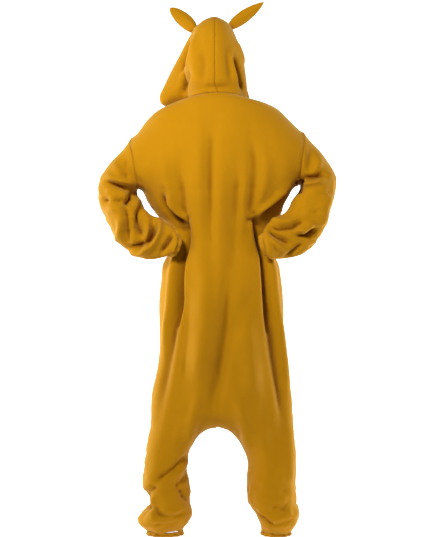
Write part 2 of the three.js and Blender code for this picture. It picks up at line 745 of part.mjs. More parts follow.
// The strip over the front closing, from the fronts' own points
function placketSheet(frontLeft, frontRight) {
  const strip = new Sheet("placket", FLEECE_LIGHT, PLACKET.wall);
  for (const front of [frontLeft, frontRight]) {
    const within = (i) => {
      const point = front.points[i];
      const inside = Math.abs(point.x - ARCH.x) < PLACKET.halfWidth + SNAP;
      return inside && point.y > 0 && point.z > PLACKET.endZ - SNAP;
    };
    for (const face of front.faces) {
      if (!face.every(within)) continue;
      strip.faces.push(face.map((i) => strip.index(front.points[i])));
    }
  }
  return strip;
}

// A gathered ring of elastic casing between two frames
function casing(name, frames, waves, swell, facing) {
  const count = waves * POINTS_PER_WAVE;
  const rows = frames.map(({ frame, size, wave }) => {
    const line = [];
    for (let i = 0; i < count; i += 1) {
      const angle = (2 * Math.PI * i) / count;
      line.push(ringPoint(frame, angle, size + wave * swell * Math.sin(waves * angle)));
    }
    return line.concat([line[0].clone()]);
  });
  return new Sheet(name, FLEECE_LIGHT).addGrid(rows, facing);
}

function cuffSheet(name, rings, facing) {
  const frame = sleeveFrame(rings[rings.length - 1]);
  const radius = frame.up.length();
  const at = (distance) => {
    const centre = frame.centre.clone().addScaledVector(frame.onward, distance);
    return { ...frame, centre };
  };
  const frames = [
    { frame: at(CUFF.seat), size: 1, wave: 0 },
    { frame: at(CUFF.seat + CUFF.length / 2), size: CUFF.middleSize, wave: 1 },
    { frame: at(CUFF.seat + CUFF.length), size: CUFF.endSize, wave: 1 },
  ];
  return casing(name, frames, CUFF.waves, CUFF.swell / radius, facing);
}

function hemSheet(name, side) {
  const row = legRow(HEM.topZ, side);
  const radius = Math.abs(row.outer - row.inner) / 2;
  const at = (z) => ({
    centre: new THREE.Vector3((row.outer + row.inner) / 2, (row.front - row.back) / 2, z),
    up: new THREE.Vector3(row.outer - row.inner, 0, 0).multiplyScalar(0.5),
    back: new THREE.Vector3(0, -(row.back + row.front) / 2, 0),
  });
  const frames = [
    { frame: at(HEM.topZ - HEM.seat), size: 1, wave: 0 },
    { frame: at((HEM.topZ + HEM.bottomZ) / 2), size: 1 - HEM.drawIn / radius, wave: 1 },
    { frame: at(HEM.bottomZ), size: 1 + HEM.flare / radius, wave: HEM.endWave },
  ];
  return casing(name, frames, HEM.waves, HEM.swell / radius, side < 0);
}

// A flat button with a raised rim, set on the strip
function buttonMesh(number, seat, normal) {
  const inside = BUTTON.radius - BUTTON.rim;
  const profile = [
    [0, 0],
    [BUTTON.radius - BUTTON_SEAT.foot, 0],
    [BUTTON.radius, BUTTON.height / 2],
    [BUTTON.radius - BUTTON_SEAT.shoulder, BUTTON.height],
    [inside, BUTTON.height - BUTTON_SEAT.brow],
    [inside - BUTTON_SEAT.slope, BUTTON.height - BUTTON.dish],
    [0, BUTTON.height - BUTTON.dish],
  ].map(([radius, height]) => new THREE.Vector2(radius, height));
  const round = new THREE.LatheGeometry(profile, BUTTON_SEAT.sides);
  const mesh = new THREE.Mesh(round, new THREE.MeshStandardMaterial(HORN));
  mesh.name = `button_${number}`;
  mesh.quaternion.setFromUnitVectors(new THREE.Vector3(0, 1, 0), normal);
  mesh.position.copy(seat).addScaledVector(normal, BUTTON_SEAT.lift);
  return mesh;
}

const directionsOf = (sheet, shared) => sheet.points.map((point) => shared.get(Sheet.key(point)));

// Walls of the suit's pieces, their seams drawn apart and their open ends cut square
function suitMeshes(suit, shared) {
  const down = new THREE.Vector3(0, 0, 1);
  const ends = [
    { centre: new THREE.Vector3(0, 0, HEM.topZ), across: down },
    ...[SLEEVE_LEFT, SLEEVE_RIGHT].map((rings) => {
      const frame = sleeveFrame(rings[rings.length - 1]);
      return { centre: frame.centre, across: frame.onward };
    }),
  ];
  return suit.map((sheet) => {
    const directions = directionsOf(sheet, shared);
    const belongs = (end) => (sheet.name.startsWith("sleeve") ? end !== ends[0] : end === ends[0]);
    for (const end of ends.filter(belongs)) layFlat(sheet, directions, end.centre, end.across);
    drawBack(sheet, SEAM_GAP / 2);
    return thicken(sheet, directions);
  });
}

function buttonMeshes(strip, directions) {
  const middle = strip.points
    .map((point, n) => ({ point, n }))
    .filter(({ point }) => Math.abs(point.x - ARCH.x) < PLACKET.halfWidth / 2);
  const meshes = [];
  for (let i = 0; i < BUTTON.count; i += 1) {
    const z = lerp(BUTTON.firstZ, BUTTON.lastZ, i / (BUTTON.count - 1));
    const nearest = middle.reduce((p, q) => (Math.abs(q.point.z - z) < Math.abs(p.point.z - z) ? q : p));
    const normal = directions[nearest.n];
    const seat = nearest.point.clone().addScaledVector(normal, LAY_GAP + PLACKET.wall);
    meshes.push(buttonMesh(i + 1, seat, normal));
  }
  return meshes;
}

function hoodMeshes() {
  const sheets = [
    new Sheet("hood_left", FLEECE).addGrid(hoodRows(-1), true),
    new Sheet("hood_right", FLEECE).addGrid(hoodRows(1), false),
  ];
  const shared = sharedDirections(sheets);
  return sheets.map((sheet) => {
    const directions = directionsOf(sheet, shared);
    drawBack(sheet, SEAM_GAP / 2);
    return thicken(sheet, directions);
  });
}

// Each ear is two sheets laid together, the inner one facing forward
function earMeshes() {
  return EARS.flatMap((ear) => {
    const rows = earRows(ear);
    const outer = new Sheet(`${ear.name}_outer`, FLEECE, EAR_WALL).addGrid(rows, ear.side > 0);
    const inner = new Sheet(`${ear.name}_inner`, FLEECE_LIGHT, EAR_WALL).addGrid(rows, ear.side > 0);
    const directions = directionsOf(outer, sharedDirections([outer]));
    return [
      thicken(outer, directions, EAR_WALL + LAY_GAP / 2),
      thicken(inner, directions, -LAY_GAP / 2),
    ];
  });
}

function bandMeshes() {
  const down = new THREE.Vector3(0, 0, 1);
  const bands = [
    { sheet: cuffSheet("cuff_left", SLEEVE_LEFT, true), across: sleeveFrame(SLEEVE_LEFT.at(-1)).onward },
    { sheet: cuffSheet("cuff_right", SLEEVE_RIGHT, false), across: sleeveFrame(SLEEVE_RIGHT.at(-1)).onward },
    { sheet: hemSheet("hem_left", -1), across: down },
    { sheet: hemSheet("hem_right", 1), across: down },
  ];
  return bands.map(({ sheet, across }) => {
    const directions = directionsOf(sheet, sharedDirections([sheet]));
    layFlat(sheet, directions, sheet.points[0].clone(), across);
    return thicken(sheet, directions);
  });
}

function build() {
  const suit = suitSheets();
  pressFolds(suit);
  const shared = sharedDirections(suit);
  const strip = placketSheet(suit[1], suit[2]);
  const stripDirections = directionsOf(strip, shared);
  const group = new THREE.Group();
  group.add(
    ...suitMeshes(suit, shared),
    thicken(strip, stripDirections, LAY_GAP + PLACKET.wall),
    ...buttonMeshes(strip, stripDirections),
    ...hoodMeshes(),
    ...earMeshes(),
    ...bandMeshes()
  );
  return group;
}

const group = build();

export default group;
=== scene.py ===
"""Looks of a hooded one-piece fleece costume with two pointed ears.

The garment keeps the form it has when it is worn, with the arms bent to the hips. Sizes are in
millimetres in the garment's own frame (+Z up, the back facing -Y), and become metres when a
piece is made.
"""

import logging
import math
from collections.abc import Iterable
from dataclasses import dataclass, field
from enum import Enum
from typing import ClassVar

import bpy
import numpy as np
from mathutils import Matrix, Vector
from mathutils.kdtree import KDTree

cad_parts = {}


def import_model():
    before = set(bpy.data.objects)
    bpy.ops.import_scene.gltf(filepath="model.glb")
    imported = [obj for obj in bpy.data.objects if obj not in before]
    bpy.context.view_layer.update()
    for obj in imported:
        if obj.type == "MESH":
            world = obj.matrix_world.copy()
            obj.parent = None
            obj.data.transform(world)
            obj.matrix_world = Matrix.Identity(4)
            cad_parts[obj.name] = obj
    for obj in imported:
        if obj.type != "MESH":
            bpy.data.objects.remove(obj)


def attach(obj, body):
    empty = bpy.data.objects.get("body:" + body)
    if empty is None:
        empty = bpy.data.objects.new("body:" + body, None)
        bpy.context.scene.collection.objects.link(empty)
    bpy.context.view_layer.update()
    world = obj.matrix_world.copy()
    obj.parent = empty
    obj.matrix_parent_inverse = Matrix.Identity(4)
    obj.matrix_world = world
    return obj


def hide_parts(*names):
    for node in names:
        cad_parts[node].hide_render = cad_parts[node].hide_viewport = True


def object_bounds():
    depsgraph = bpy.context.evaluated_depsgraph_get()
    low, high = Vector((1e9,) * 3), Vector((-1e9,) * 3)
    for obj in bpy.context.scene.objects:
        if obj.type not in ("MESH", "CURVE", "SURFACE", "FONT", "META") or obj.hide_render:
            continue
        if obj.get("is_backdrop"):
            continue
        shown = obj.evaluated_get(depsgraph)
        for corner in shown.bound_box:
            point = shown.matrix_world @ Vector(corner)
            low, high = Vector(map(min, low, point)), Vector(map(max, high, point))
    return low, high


LOG = logging.getLogger("costume")
METRES = 0.001
Point = tuple[float, float]
Place = tuple[float, float, float]
Colour = tuple[float, float, float]
Face = tuple[int, ...]
Values = float | np.ndarray
Sizes = dict[str, np.ndarray]
Line = tuple[np.ndarray, np.ndarray]
Shade = tuple[float, float, float, float]


# Curves and small sums


def mix(start: Values, end: Values, share: Values) -> Values:
    """Value between two others, at a share of the way."""
    return start + (end - start) * share


def ease(low: float, high: float, value: Values) -> Values:
    """Soft step from 0 at low to 1 at high; low may be the larger one."""
    share = np.clip((value - low) / (high - low), 0.0, 1.0)
    return share * share * (3 - 2 * share)


def bell(distance: Values, width: float) -> Values:
    """1 at no distance, dying away softly over a width."""
    return np.exp(-((distance / width) ** 2))


def curve_through(places: Iterable[float], values: np.ndarray, at: np.ndarray) -> np.ndarray:
    """Smooth curve through values at uneven places.

    Args:
        places: where the values are, all rising or all falling.
        values: the values, one for each place.
        at: the places asked for.

    Returns:
        The curve's values there.
    """
    places, values, at = (np.asarray(item, float) for item in (places, values, at))
    if places[0] > places[-1]:
        places, values = places[::-1], values[::-1]
    slopes = np.gradient(values, places)
    at = np.clip(at, places[0], places[-1])
    i = np.clip(np.searchsorted(places, at, side="right") - 1, 0, len(places) - 2)
    width = places[i + 1] - places[i]
    t = (at - places[i]) / width
    start = (2 * t**3 - 3 * t**2 + 1) * values[i] + (t**3 - 2 * t**2 + t) * width * slopes[i]
    end = (3 * t**2 - 2 * t**3) * values[i + 1] + (t**3 - t**2) * width * slopes[i + 1]
    return start + end


def softened(values: np.ndarray, passes: int) -> np.ndarray:
    """Evens out a row of values, leaving its two ends.

    Args:
        values: the row.
        passes: how many times it is evened.

    Returns:
        The evened row.
    """
    values = np.array(values, float)
    for _ in range(passes):
        values[1:-1] = (values[:-2] + 2 * values[1:-1] + values[2:]) / 4
    return values


def unit(vectors: np.ndarray) -> np.ndarray:
    """Vectors of length one."""
    length = np.linalg.norm(vectors, axis=-1, keepdims=True)
    return vectors / np.maximum(length, 1e-9)


def travel(line: np.ndarray) -> np.ndarray:
    """Length travelled along a line, at each of its points."""
    return np.concatenate([[0.0], np.cumsum(np.linalg.norm(np.diff(line, axis=0), axis=1))])


def ring_faces(first: int, rows: int, around: int, flip: bool = False) -> list[Face]:
    """Faces between closed rows of points.

    Args:
        first: number of the first row's first point.
        rows: how many rows there are.
        around: points in a row.
        flip: whether the faces are turned round.

    Returns:
        The faces, as tuples of point numbers.
    """
    faces = []
    for low in range(first, first + (rows - 1) * around, around):
        for j in range(around):
            k = (j + 1) % around
            face = (low + j, low + k, low + around + k, low + around + j)
            faces.append((face[0], *face[:0:-1]) if flip else face)
    return faces


@dataclass(frozen=True)
class Table:
    """Rows of sizes under named columns."""

    names: str
    rows: tuple[tuple[float, ...], ...]

    def column(self, name: str) -> np.ndarray:
        """All the values of one column."""
        place = self.names.split().index(name)
        return np.array([row[place] for row in self.rows], float)

    def columns(self) -> dict[str, np.ndarray]:
        """Every column by its name."""
        return {name: self.column(name) for name in self.names.split()}


def table(names: str, *rows: tuple[float, ...]) -> Table:
    """A table from its columns' names and its rows."""
    return Table(names, rows)


class SoftNoise:
    """Smooth seeded noise between -1 and 1."""

    CELLS = 32

    def __init__(self, seed: int) -> None:
        """Draws the noise's lattice."""
        self.lattice = np.random.default_rng(seed).uniform(-1, 1, (self.CELLS,) * 3)

    def at(self, points: np.ndarray) -> np.ndarray:
        """The noise at points whose unit is one cell.

        Args:
            points: an array of places, three numbers each.

        Returns:
            One value for each place.
        """
        cell = np.floor(points).astype(int)
        t = points - cell
        t = t * t * (3 - 2 * t)
        total = np.zeros(len(points))
        for corner in np.ndindex(2, 2, 2):
            weight = np.prod(np.where(np.array(corner) == 1, t, 1 - t), axis=1)
            x, y, z = ((cell + corner) % self.CELLS).T
            total += weight * self.lattice[x, y, z]
        return total


# Folds of the cloth


class Fold(Enum):
    """How the cloth lies along a crease."""

    TROUGH = "a soft hollow"
    RIDGE = "a soft ridge"
    TUCK = "a hollow with a raised lip on one side"


@dataclass(frozen=True)
class Crease:
    """One fold, drawn on the garment as a line seen from behind.

    Face is -1 for the back of the garment, 1 for its front and 0 for both. A lean of 1 puts the
    lip of a tuck on the left of the line, and -1 on its right.
    """

    face: int
    line: tuple[Point, ...]
    depth: float
    width: float
    fold: Fold = Fold.TROUGH
    lean: int = 1

    REACH: ClassVar[float] = 4
    END_SLACK: ClassVar[float] = 0.02
    END_SHARE: ClassVar[float] = 0.3
    END_DEPTH: ClassVar[float] = 0.15
    LIP_PLACE: ClassVar[float] = 1.5
    LIP_WIDTH: ClassVar[float] = 1.2
    LIP_HEIGHT: ClassVar[float] = 0.75
    STEEP_GAIN: ClassVar[float] = 2.0
    STEEP_START: ClassVar[float] = 0.6

    def push(self, points: np.ndarray, normals: np.ndarray) -> np.ndarray:
        """How far the fold moves each point out along its normal.

        Args:
            points: places of the cloth.
            normals: which way the cloth faces there.

        Returns:
            One distance for each point, negative in a hollow.
        """
        amount = np.zeros(len(points))
        line = np.array(self.line, float)
        reach = self.REACH * self.width
        flat = points[:, (0, 2)]
        inside = (flat > line.min(axis=0) - reach) & (flat < line.max(axis=0) + reach)
        near = np.flatnonzero(np.all(inside, axis=1))
        if not len(near):
            return amount
        best, signed, way = self.measure(line, flat[near])
        fade = ease(-self.END_SLACK, self.END_SHARE, way)
        fade = fade * ease(1 + self.END_SLACK, 1 - self.END_SHARE, way)
        fade = mix(self.END_DEPTH, 1.0, fade) * bell(np.maximum(best - reach, 0), self.width)
        facing = 1.0
        if self.face:
            facing = np.clip(self.face * normals[near, 1] * self.STEEP_GAIN + self.STEEP_START, 0, 1)
        amount[near] = self.depth * self.section(best, signed) * fade * facing
        return amount

    def measure(self, line: np.ndarray, flat: np.ndarray) -> tuple[np.ndarray, ...]:
        """Where points lie beside the fold's line.

        Args:
            line: points of the line.
            flat: the places to measure, as seen from behind.

        Returns:
            Distance to the line, the same with a sign for its side, and the share of the way along.
        """
        travelled = travel(line)
        best = np.full(len(flat), np.inf)
        signed = np.zeros(len(flat))
        way = np.zeros(len(flat))
        for i, length in enumerate(np.linalg.norm(np.diff(line, axis=0), axis=1)):
            step = (line[i + 1] - line[i]) / length
            offset = flat - line[i]
            along = np.clip(offset @ step, 0, length)
            gap = offset - along[:, None] * step
            distance = np.linalg.norm(gap, axis=1)
            side = np.sign(step[0] * gap[:, 1] - step[1] * gap[:, 0])
            closer = distance < best
            best = np.where(closer, distance, best)
            signed = np.where(closer, distance * side, signed)
            way = np.where(closer, (travelled[i] + along) / travelled[-1], way)
        return best, signed, way

    def section(self, distance: np.ndarray, signed: np.ndarray) -> np.ndarray:
        """The fold's form across its line, 1 high at most.

        Args:
            distance: distance to the line.
            signed: the same with a sign for its side.

        Returns:
            One height for each distance, negative in a hollow.
        """
        core = bell(distance, self.width)
        if self.fold is Fold.TROUGH:
            return -core
        if self.fold is Fold.RIDGE:
            return core
        lip = bell(signed * self.lean - self.LIP_PLACE * self.width, self.LIP_WIDTH * self.width)
        return self.LIP_HEIGHT * lip - core


def creases(face: int, *rows: tuple) -> list[Crease]:
    """Creases of one face, from rows of their line, depth, width, fold and lean."""
    return [Crease(face, *row) for row in rows]


# The cloth of the garment


@dataclass
class Cloth:
    """Panels of cloth laid out as grids of points and joined where they share them."""

    grids: list[tuple[str, np.ndarray, bool]] = field(default_factory=list)
    points: np.ndarray = field(default_factory=lambda: np.zeros((0, 3)))
    rest: np.ndarray = field(default_factory=lambda: np.zeros((0, 3)))
    faces: dict[str, list[Face]] = field(default_factory=dict)
    places: dict[str, list[np.ndarray]] = field(default_factory=dict)

    PLACES_PER_MM: ClassVar[int] = 20

    def lay(self, piece: str, grid: np.ndarray, flip: bool) -> None:
        """Adds a grid of points to a piece; flip turns its faces round."""
        self.grids.append((piece, grid, flip))

    def join(self) -> None:
        """Makes one set of points out of all the grids, each place used once."""
        stacked = np.concatenate([grid.reshape(-1, 3) for _, grid, _ in self.grids])
        keys = np.round(stacked * self.PLACES_PER_MM).astype(np.int64)
        _, first, number = np.unique(keys, axis=0, return_index=True, return_inverse=True)
        number = number.reshape(-1)
        self.points = stacked[first]
        self.rest = self.points.copy()
        start = 0
        for piece, grid, flip in self.grids:
            rows, columns = grid.shape[:2]
            ids = number[start : start + rows * columns].reshape(rows, columns)
            start += rows * columns
            self.places.setdefault(piece, []).append(ids)
            corners = np.stack([ids[:-1, :-1], ids[:-1, 1:], ids[1:, 1:], ids[1:, :-1]], axis=-1)
            for face in corners.reshape(-1, 4).tolist():
                ring = list(dict.fromkeys(face))
                if len(ring) > 2:
                    self.faces.setdefault(piece, []).append(tuple(ring[::-1] if flip else ring))

    def triangles(self) -> np.ndarray:
        """All the faces of all the pieces, split into triangles.

        Returns:
            Three point numbers for each triangle.
        """
        found = []
        for faces in self.faces.values():
            for face in faces:
                found.extend((face[0], face[i], face[i + 1]) for i in range(1, len(face) - 1))
        return np.array(found)

    def normals(self, triangles: np.ndarray) -> np.ndarray:
        """Which way the cloth faces at each point.

        Args:
            triangles: the cloth's triangles.

        Returns:
            A vector of length one for each point.
        """
        a, b, c = (self.points[triangles[:, i]] for i in range(3))
        areas = np.cross(b - a, c - a)
        total = np.zeros_like(self.points)
        for i in range(3):
            for axis in range(3):
                total[:, axis] += np.bincount(triangles[:, i], areas[:, axis], len(total))
        return unit(total)

    def neighbours(self, triangles: np.ndarray) -> tuple[np.ndarray, np.ndarray]:
        """How the points are joined.

        Args:
            triangles: the cloth's triangles.

        Returns:
            Pairs of joined points both ways round, and which points lie on an open edge.
        """
        sides = np.concatenate([triangles[:, (0, 1)], triangles[:, (1, 2)], triangles[:, (2, 0)]])
        pairs, counts = np.unique(np.sort(sides, axis=1), axis=0, return_counts=True)
        is_open = np.zeros(len(self.points), bool)
        is_open[pairs[counts == 1].reshape(-1)] = True
        return np.concatenate([pairs, pairs[:, ::-1]]), is_open

    def smooth(self, triangles: np.ndarray, passes: int, weight: np.ndarray | float) -> None:
        """Relaxes the cloth towards the mean of its neighbours, leaving its open edges.

        Args:
            triangles: the cloth's triangles.
            passes: how many times it is relaxed.
            weight: share of the way to the mean, one for all points or one each.
        """
        pairs, is_open = self.neighbours(triangles)
        share = np.where(is_open, 0.0, weight)[:, None]
        count = np.maximum(np.bincount(pairs[:, 0], minlength=len(self.points)), 1)[:, None]
        for _ in range(passes):
            near = self.points[pairs[:, 1]]
            sums = [np.bincount(pairs[:, 0], near[:, axis], len(self.points)) for axis in range(3)]
            self.points = self.points + share * (np.stack(sums, axis=1) / count - self.points)

    def seam_distance(self) -> np.ndarray:
        """Distance from each point to the nearest seam between two pieces.

        Returns:
            One distance for each point of the cloth.
        """
        uses = np.zeros(len(self.points), int)
        for faces in self.faces.values():
            uses[np.unique(np.concatenate([np.array(face) for face in faces]))] += 1
        return self.distance_to(np.flatnonzero(uses > 1))

    def distance_to(self, chosen: np.ndarray) -> np.ndarray:
        """Distance from each point to the nearest of some of them.

        Args:
            chosen: numbers of the points to measure to.

        Returns:
            One distance for each point of the cloth.
        """
        tree = KDTree(len(chosen))
        for i in chosen.tolist():
            tree.insert(self.rest[i], i)
        tree.balance()
        return np.array([tree.find(place)[2] for place in self.rest.tolist()])


@dataclass(frozen=True)
class ShadeMarks:
    """What a point of the cloth tells its finish: the painted shade it gets in folds and hollows, and along
    seams.
    """

    fold: np.ndarray
    seam: np.ndarray


def make_object(
    name: str, points: np.ndarray, faces: list[Face], shade_marks: ShadeMarks | None = None
) -> bpy.types.Object:
    """Makes a smooth mesh object from points in millimetres.

    Args:
        name: the piece's name.
        points: its points.
        faces: its faces, as tuples of point numbers.
        shade_marks: how much painted shade each point gets, from how deep in a fold and how near a seam it
            lies.

    Returns:
        The new object, in the scene.
    """
    mesh = bpy.data.meshes.new(name)
    mesh.from_pydata((points * METRES).tolist(), [], faces)
    mesh.validate()
    mesh.shade_smooth()
    if shade_marks is not None:
        # The fold and seam marks are painted shade: the fleece darkens its colour by them.
        for label, values in (("fold", shade_marks.fold), ("seam", shade_marks.seam)):
            layer = mesh.attributes.new(label, "FLOAT", "POINT")
            layer.data.foreach_set("value", values.astype(np.float32))
    made = bpy.data.objects.new(name, mesh)
    bpy.context.scene.collection.objects.link(made)
    LOG.info("%s: %d faces", name, len(mesh.polygons))
    return made


def shell(
    name: str,
    points: np.ndarray,
    faces: list[Face],
    normals: np.ndarray,
    wall: float,
    shade_marks: ShadeMarks,
) -> bpy.types.Object:
    """Gives a sheet its thickness and makes it an object.

    Args:
        name: the piece's name.
        points: all the points of the cloth, of which the faces use some.
        faces: the faces of this piece.
        normals: which way the cloth faces at each point.
        wall: thickness of the cloth.
        shade_marks: the painted shade marks, for folds and seams, of all the points.

    Returns:
        The new object.
    """
    used = np.unique(np.concatenate([np.array(face) for face in faces]))
    number = {old: new for new, old in enumerate(used.tolist())}
    outer = points[used]
    inner = outer - wall * normals[used]
    count = len(used)
    own = [tuple(number[i] for i in face) for face in faces]
    edges = {}
    for face in own:
        for start, end in zip(face, face[1:] + face[:1]):
            if edges.pop((end, start), None) is None:
                edges[(start, end)] = True
    made = list(own)
    made.extend(tuple(i + count for i in reversed(face)) for face in own)
    made.extend((end, start, start + count, end + count) for start, end in edges)
    both = ShadeMarks(np.tile(shade_marks.fold[used], 2), np.tile(shade_marks.seam[used], 2))
    return make_object(f"{name}_cloth", np.concatenate([outer, inner]), made, both)


# Cut of the suit


@dataclass
class Suit:
    """Back, fronts and sleeves: the tables of their outline and depth, and their grids.

    In the tables a fold is the edge of the slot down each side of the back, and its recess is how
    far the cloth beyond that edge lies in. Edge_y is the depth at which the side seam runs.
    """

    neck_x: float = -10
    section_power: float = 2.2
    armhole_depth: float = 85
    armhole_y: float = -15
    armhole_steps: int = 40
    arch_steps: int = 40
    armhole_bulge_back: float = 6
    armhole_bulge_front: float = 3
    arch_x: float = -10
    arch_top: float = -1125
    arch_half: float = 105
    arch_height: float = 136
    turn_under: float = 75
    side_round: float = 75
    step_half: float = 9
    recess_share: float = 0.4
    strip_half: float = 15
    strip_end: float = -697
    hem_z: float = -1474
    strip_columns: int = 13
    step_columns: int = 4
    back_columns: int = 32
    front_columns: int = 34
    closing_columns: int = 4
    row_step: float = 5.0
    row_passes: int = 14
    shoulder_steps: int = 7
    sleeve_steps: int = 10
    fold_share_left: float = 0.7
    fold_share_right: float = 0.78
    legs_round_from: float = -900
    legs_round_to: float = -1290
    back_even_from: float = -860
    front_even_from: float = -757
    even_to: float = -1107
    shoulder: Table = table(
        "left_x left_z right_x right_z edge_y rise drop back front",
        (-105, -6, 85, -6, 0, 14, -38, 85, 75),
        (-150, -18, 124, -14, -2, 12, -37, 99, 86),
        (-190, -33, 162, -25, -4, 8, -33, 112, 95),
        (-226, -53, 196, -44, -7, 3, -24, 123, 104),
        (-258, -83, 226, -74, -10, 0, -12, 133, 111),
        (-284, -114, 256, -101, -13, 0, -4, 142, 117),
        (-306, -139, 279, -122, -15, 0, 0, 148, 121),
    )
    torso: Table = table(
        "z left right edge_y back front fold_left fold_right recess",
        (-313, -279, 262, -15, 142, 128, -201, 215, 0),
        (-343, -258, 231, -12, 138, 128, -187, 197, 0.15),
        (-371, -241, 211, -9, 132, 128, -173, 178, 0.3),
        (-398, -218, 204, -6, 126, 128, -157, 150, 0.42),
        (-425, -190, 187, -3, 122, 129, -137, 124, 0.55),
        (-455, -171, 170, 0, 118, 130, -119, 127, 0.62),
        (-490, -165, 166, 0, 118, 131, -122, 136, 0.62),
        (-525, -174, 176, 0, 122, 133, -128, 142, 0.6),
        (-561, -197, 194, 0, 130, 136, -133, 146, 0.52),
        (-615, -204, 203, 0, 148, 142, -136, 149, 0.45),
        (-697, -213, 211, 0, 165, 150, -140, 153, 0.38),
        (-779, -214, 215, 0, 163, 150, -157, 161, 0.28),
        (-860, -214, 221, 0, 155, 145, -170, 172, 0.16),
        (-942, -222, 227, 0, 145, 138, -180, 183, 0.07),
        (-1023, -235, 235, 0, 133, 128, -187, 193, 0),
        (-1078, -240, 240, 0, 124, 122, -190, 197, 0),
        (-1125, -242, 244, 0, 116, 116, -192, 199, 0),
    )
    legs: Table = table(
        "z outer_left inner_left outer_right inner_right edge_y back front",
        (-1125, -242, -10, 244, -10, 0, 116, 116),
        (-1180, -254, -84, 248, 64, 0, 109, 110),
        (-1261, -265, -115, 252, 94, 0, 103, 104),
        (-1310, -268, -112, 249, 92, 0, 100, 104),
        (-1350, -258, -109, 252, 92, 2, 96, 107),
        (-1380, -246, -108, 253, 95, 6, 92, 113),
        (-1404, -265, -102, 264, 113, 12, 92, 130),
        (-1431, -286, -105, 263, 126, 20, 90, 148),
        (-1455, -282, -122, 252, 134, 22, 72, 130),
        (-1474, -252, -130, 238, 138, 22, 42, 86),
    )
    sleeve_left: Table = table(
        "outer_x outer_z inner_x inner_z",
        (-306, -139, -279, -320),
        (-350, -194, -280, -326),
        (-388, -241, -278, -331),
        (-415, -292, -276, -336),
        (-421, -326, -273, -343),
        (-408, -367, -266, -357),
        (-384, -418, -256, -378),
        (-357, -469, -243, -397),
        (-323, -513, -226, -407),
        (-277, -545, -204, -418),
        (-235, -553, -180, -433),
        (-197, -547, -160, -449),
        (-180, -539, -153, -466),
    )
    sleeve_right: Table = table(
        "outer_x outer_z inner_x inner_z",
        (279, -122, 262, -306),
        (316, -165, 262, -313),
        (354, -211, 260, -319),
        (381, -252, 257, -324),
        (394, -290, 252, -331),
        (386, -333, 244, -342),
        (367, -381, 237, -360),
        (349, -432, 228, -382),
        (330, -481, 214, -399),
        (294, -518, 197, -408),
        (247, -543, 174, -420),
        (192, -551, 156, -438),
        (174, -540, 147, -462),
    )
    sleeve_depths: Table = table(
        "mid_y depth turn",
        (-15, 85, 0),
        (-18, 80, 0),
        (-24, 77, 0),
        (-30, 74, 0),
        (-35, 72, 0),
        (-39, 70, 0),
        (-44, 67, 0),
        (-50, 63, 0),
        (-60, 58, 6),
        (-70, 53, 12),
        (-80, 49, 18),
        (-90, 44, 24),
        (-93, 38, 26),
    )

    def crown(self, share: Values) -> Values:
        """Height of the section's curve at a share of its half width."""
        inside = 1 - np.minimum(1, np.abs(share)) ** self.section_power
        return np.maximum(0, inside) ** (1 / self.section_power)

    def under(self, distance: Values) -> Values:
        """Fullness at a distance from the inseam, where the cloth turns under."""
        return np.sqrt(1 - (1 - np.clip(distance / self.turn_under, 0, 1)) ** 2)

    def rows(self) -> Sizes:
        """Sizes of all the rows above the arch, neck first.

        Returns:
            The sizes by name.
        """
        parts = [self.shoulder_rows(), self.armhole_rows(), self.torso_rows()]
        rows = {name: np.concatenate([part[name] for part in parts]) for name in parts[0]}
        for name in ("back", "front", "edge_y", "fold_left", "fold_right", "rise", "drop", "recess"):
            rows[name] = softened(rows[name], self.row_passes)
        return rows

    def shoulder_rows(self) -> Sizes:
        """Rows from the neck to just above the armholes.

        Returns:
            The sizes by name.
        """
        steps = range(len(self.shoulder.rows))
        at = np.linspace(0, steps[-1], self.shoulder_steps * steps[-1], endpoint=False)
        table = self.shoulder.columns()
        rows = {name: curve_through(steps, values, at) for name, values in table.items()}
        rows["fold_left"] = mix(self.neck_x, rows["left_x"], self.fold_share_left)
        rows["fold_right"] = mix(self.neck_x, rows["right_x"], self.fold_share_right)
        rows["armhole"] = rows["recess"] = np.zeros(len(at))
        return rows

    def armhole_rows(self) -> Sizes:
        """Rows down the armholes, from their tops to the underarms.

        Returns:
            The sizes by name.
        """
        angle = np.linspace(0, np.pi, self.armhole_steps + 1)
        top = {name: values[-1] for name, values in self.shoulder.columns().items()}
        low = {name: values[0] for name, values in self.torso.columns().items()}
        way = (1 - np.cos(angle)) / 2
        bulge = 1 - (2 * way - 1) ** 2
        rows = {}
        for side, table in (("left", self.sleeve_left), ("right", self.sleeve_right)):
            ring = {name: values[0] for name, values in table.columns().items()}
            for axis in "xz":
                rows[f"{side}_{axis}"] = mix(ring[f"outer_{axis}"], ring[f"inner_{axis}"], way)
        rows["edge_y"] = np.full(len(angle), self.armhole_y)
        rows["armhole"] = self.armhole_depth * np.sin(angle)
        rows["back"] = mix(top["back"], low["back"], way) + self.armhole_bulge_back * bulge
        rows["front"] = mix(top["front"], low["front"], way) + self.armhole_bulge_front * bulge
        fold_left = mix(self.neck_x, top["left_x"], self.fold_share_left)
        fold_right = mix(self.neck_x, top["right_x"], self.fold_share_right)
        rows["fold_left"] = mix(fold_left, low["fold_left"], way)
        rows["fold_right"] = mix(fold_right, low["fold_right"], way)
        rows["rise"] = rows["drop"] = rows["recess"] = np.zeros(len(angle))
        return rows

    def torso_rows(self) -> Sizes:
        """Rows from below the underarms to the top of the arch.

        Returns:
            The sizes by name.
        """
        levels = self.torso.column("z")
        z = np.linspace(levels[0], levels[-1], int((levels[0] - levels[-1]) / self.row_step) + 1)[1:]
        table = self.torso.columns()
        read = {name: curve_through(levels, values, z) for name, values in table.items()}
        rows = {"left_x": read["left"], "right_x": read["right"], "left_z": z, "right_z": z}
        for name in ("edge_y", "back", "front", "fold_left", "fold_right", "recess"):
            rows[name] = read[name]
        rows["armhole"] = rows["rise"] = rows["drop"] = np.zeros(len(z))
        return rows

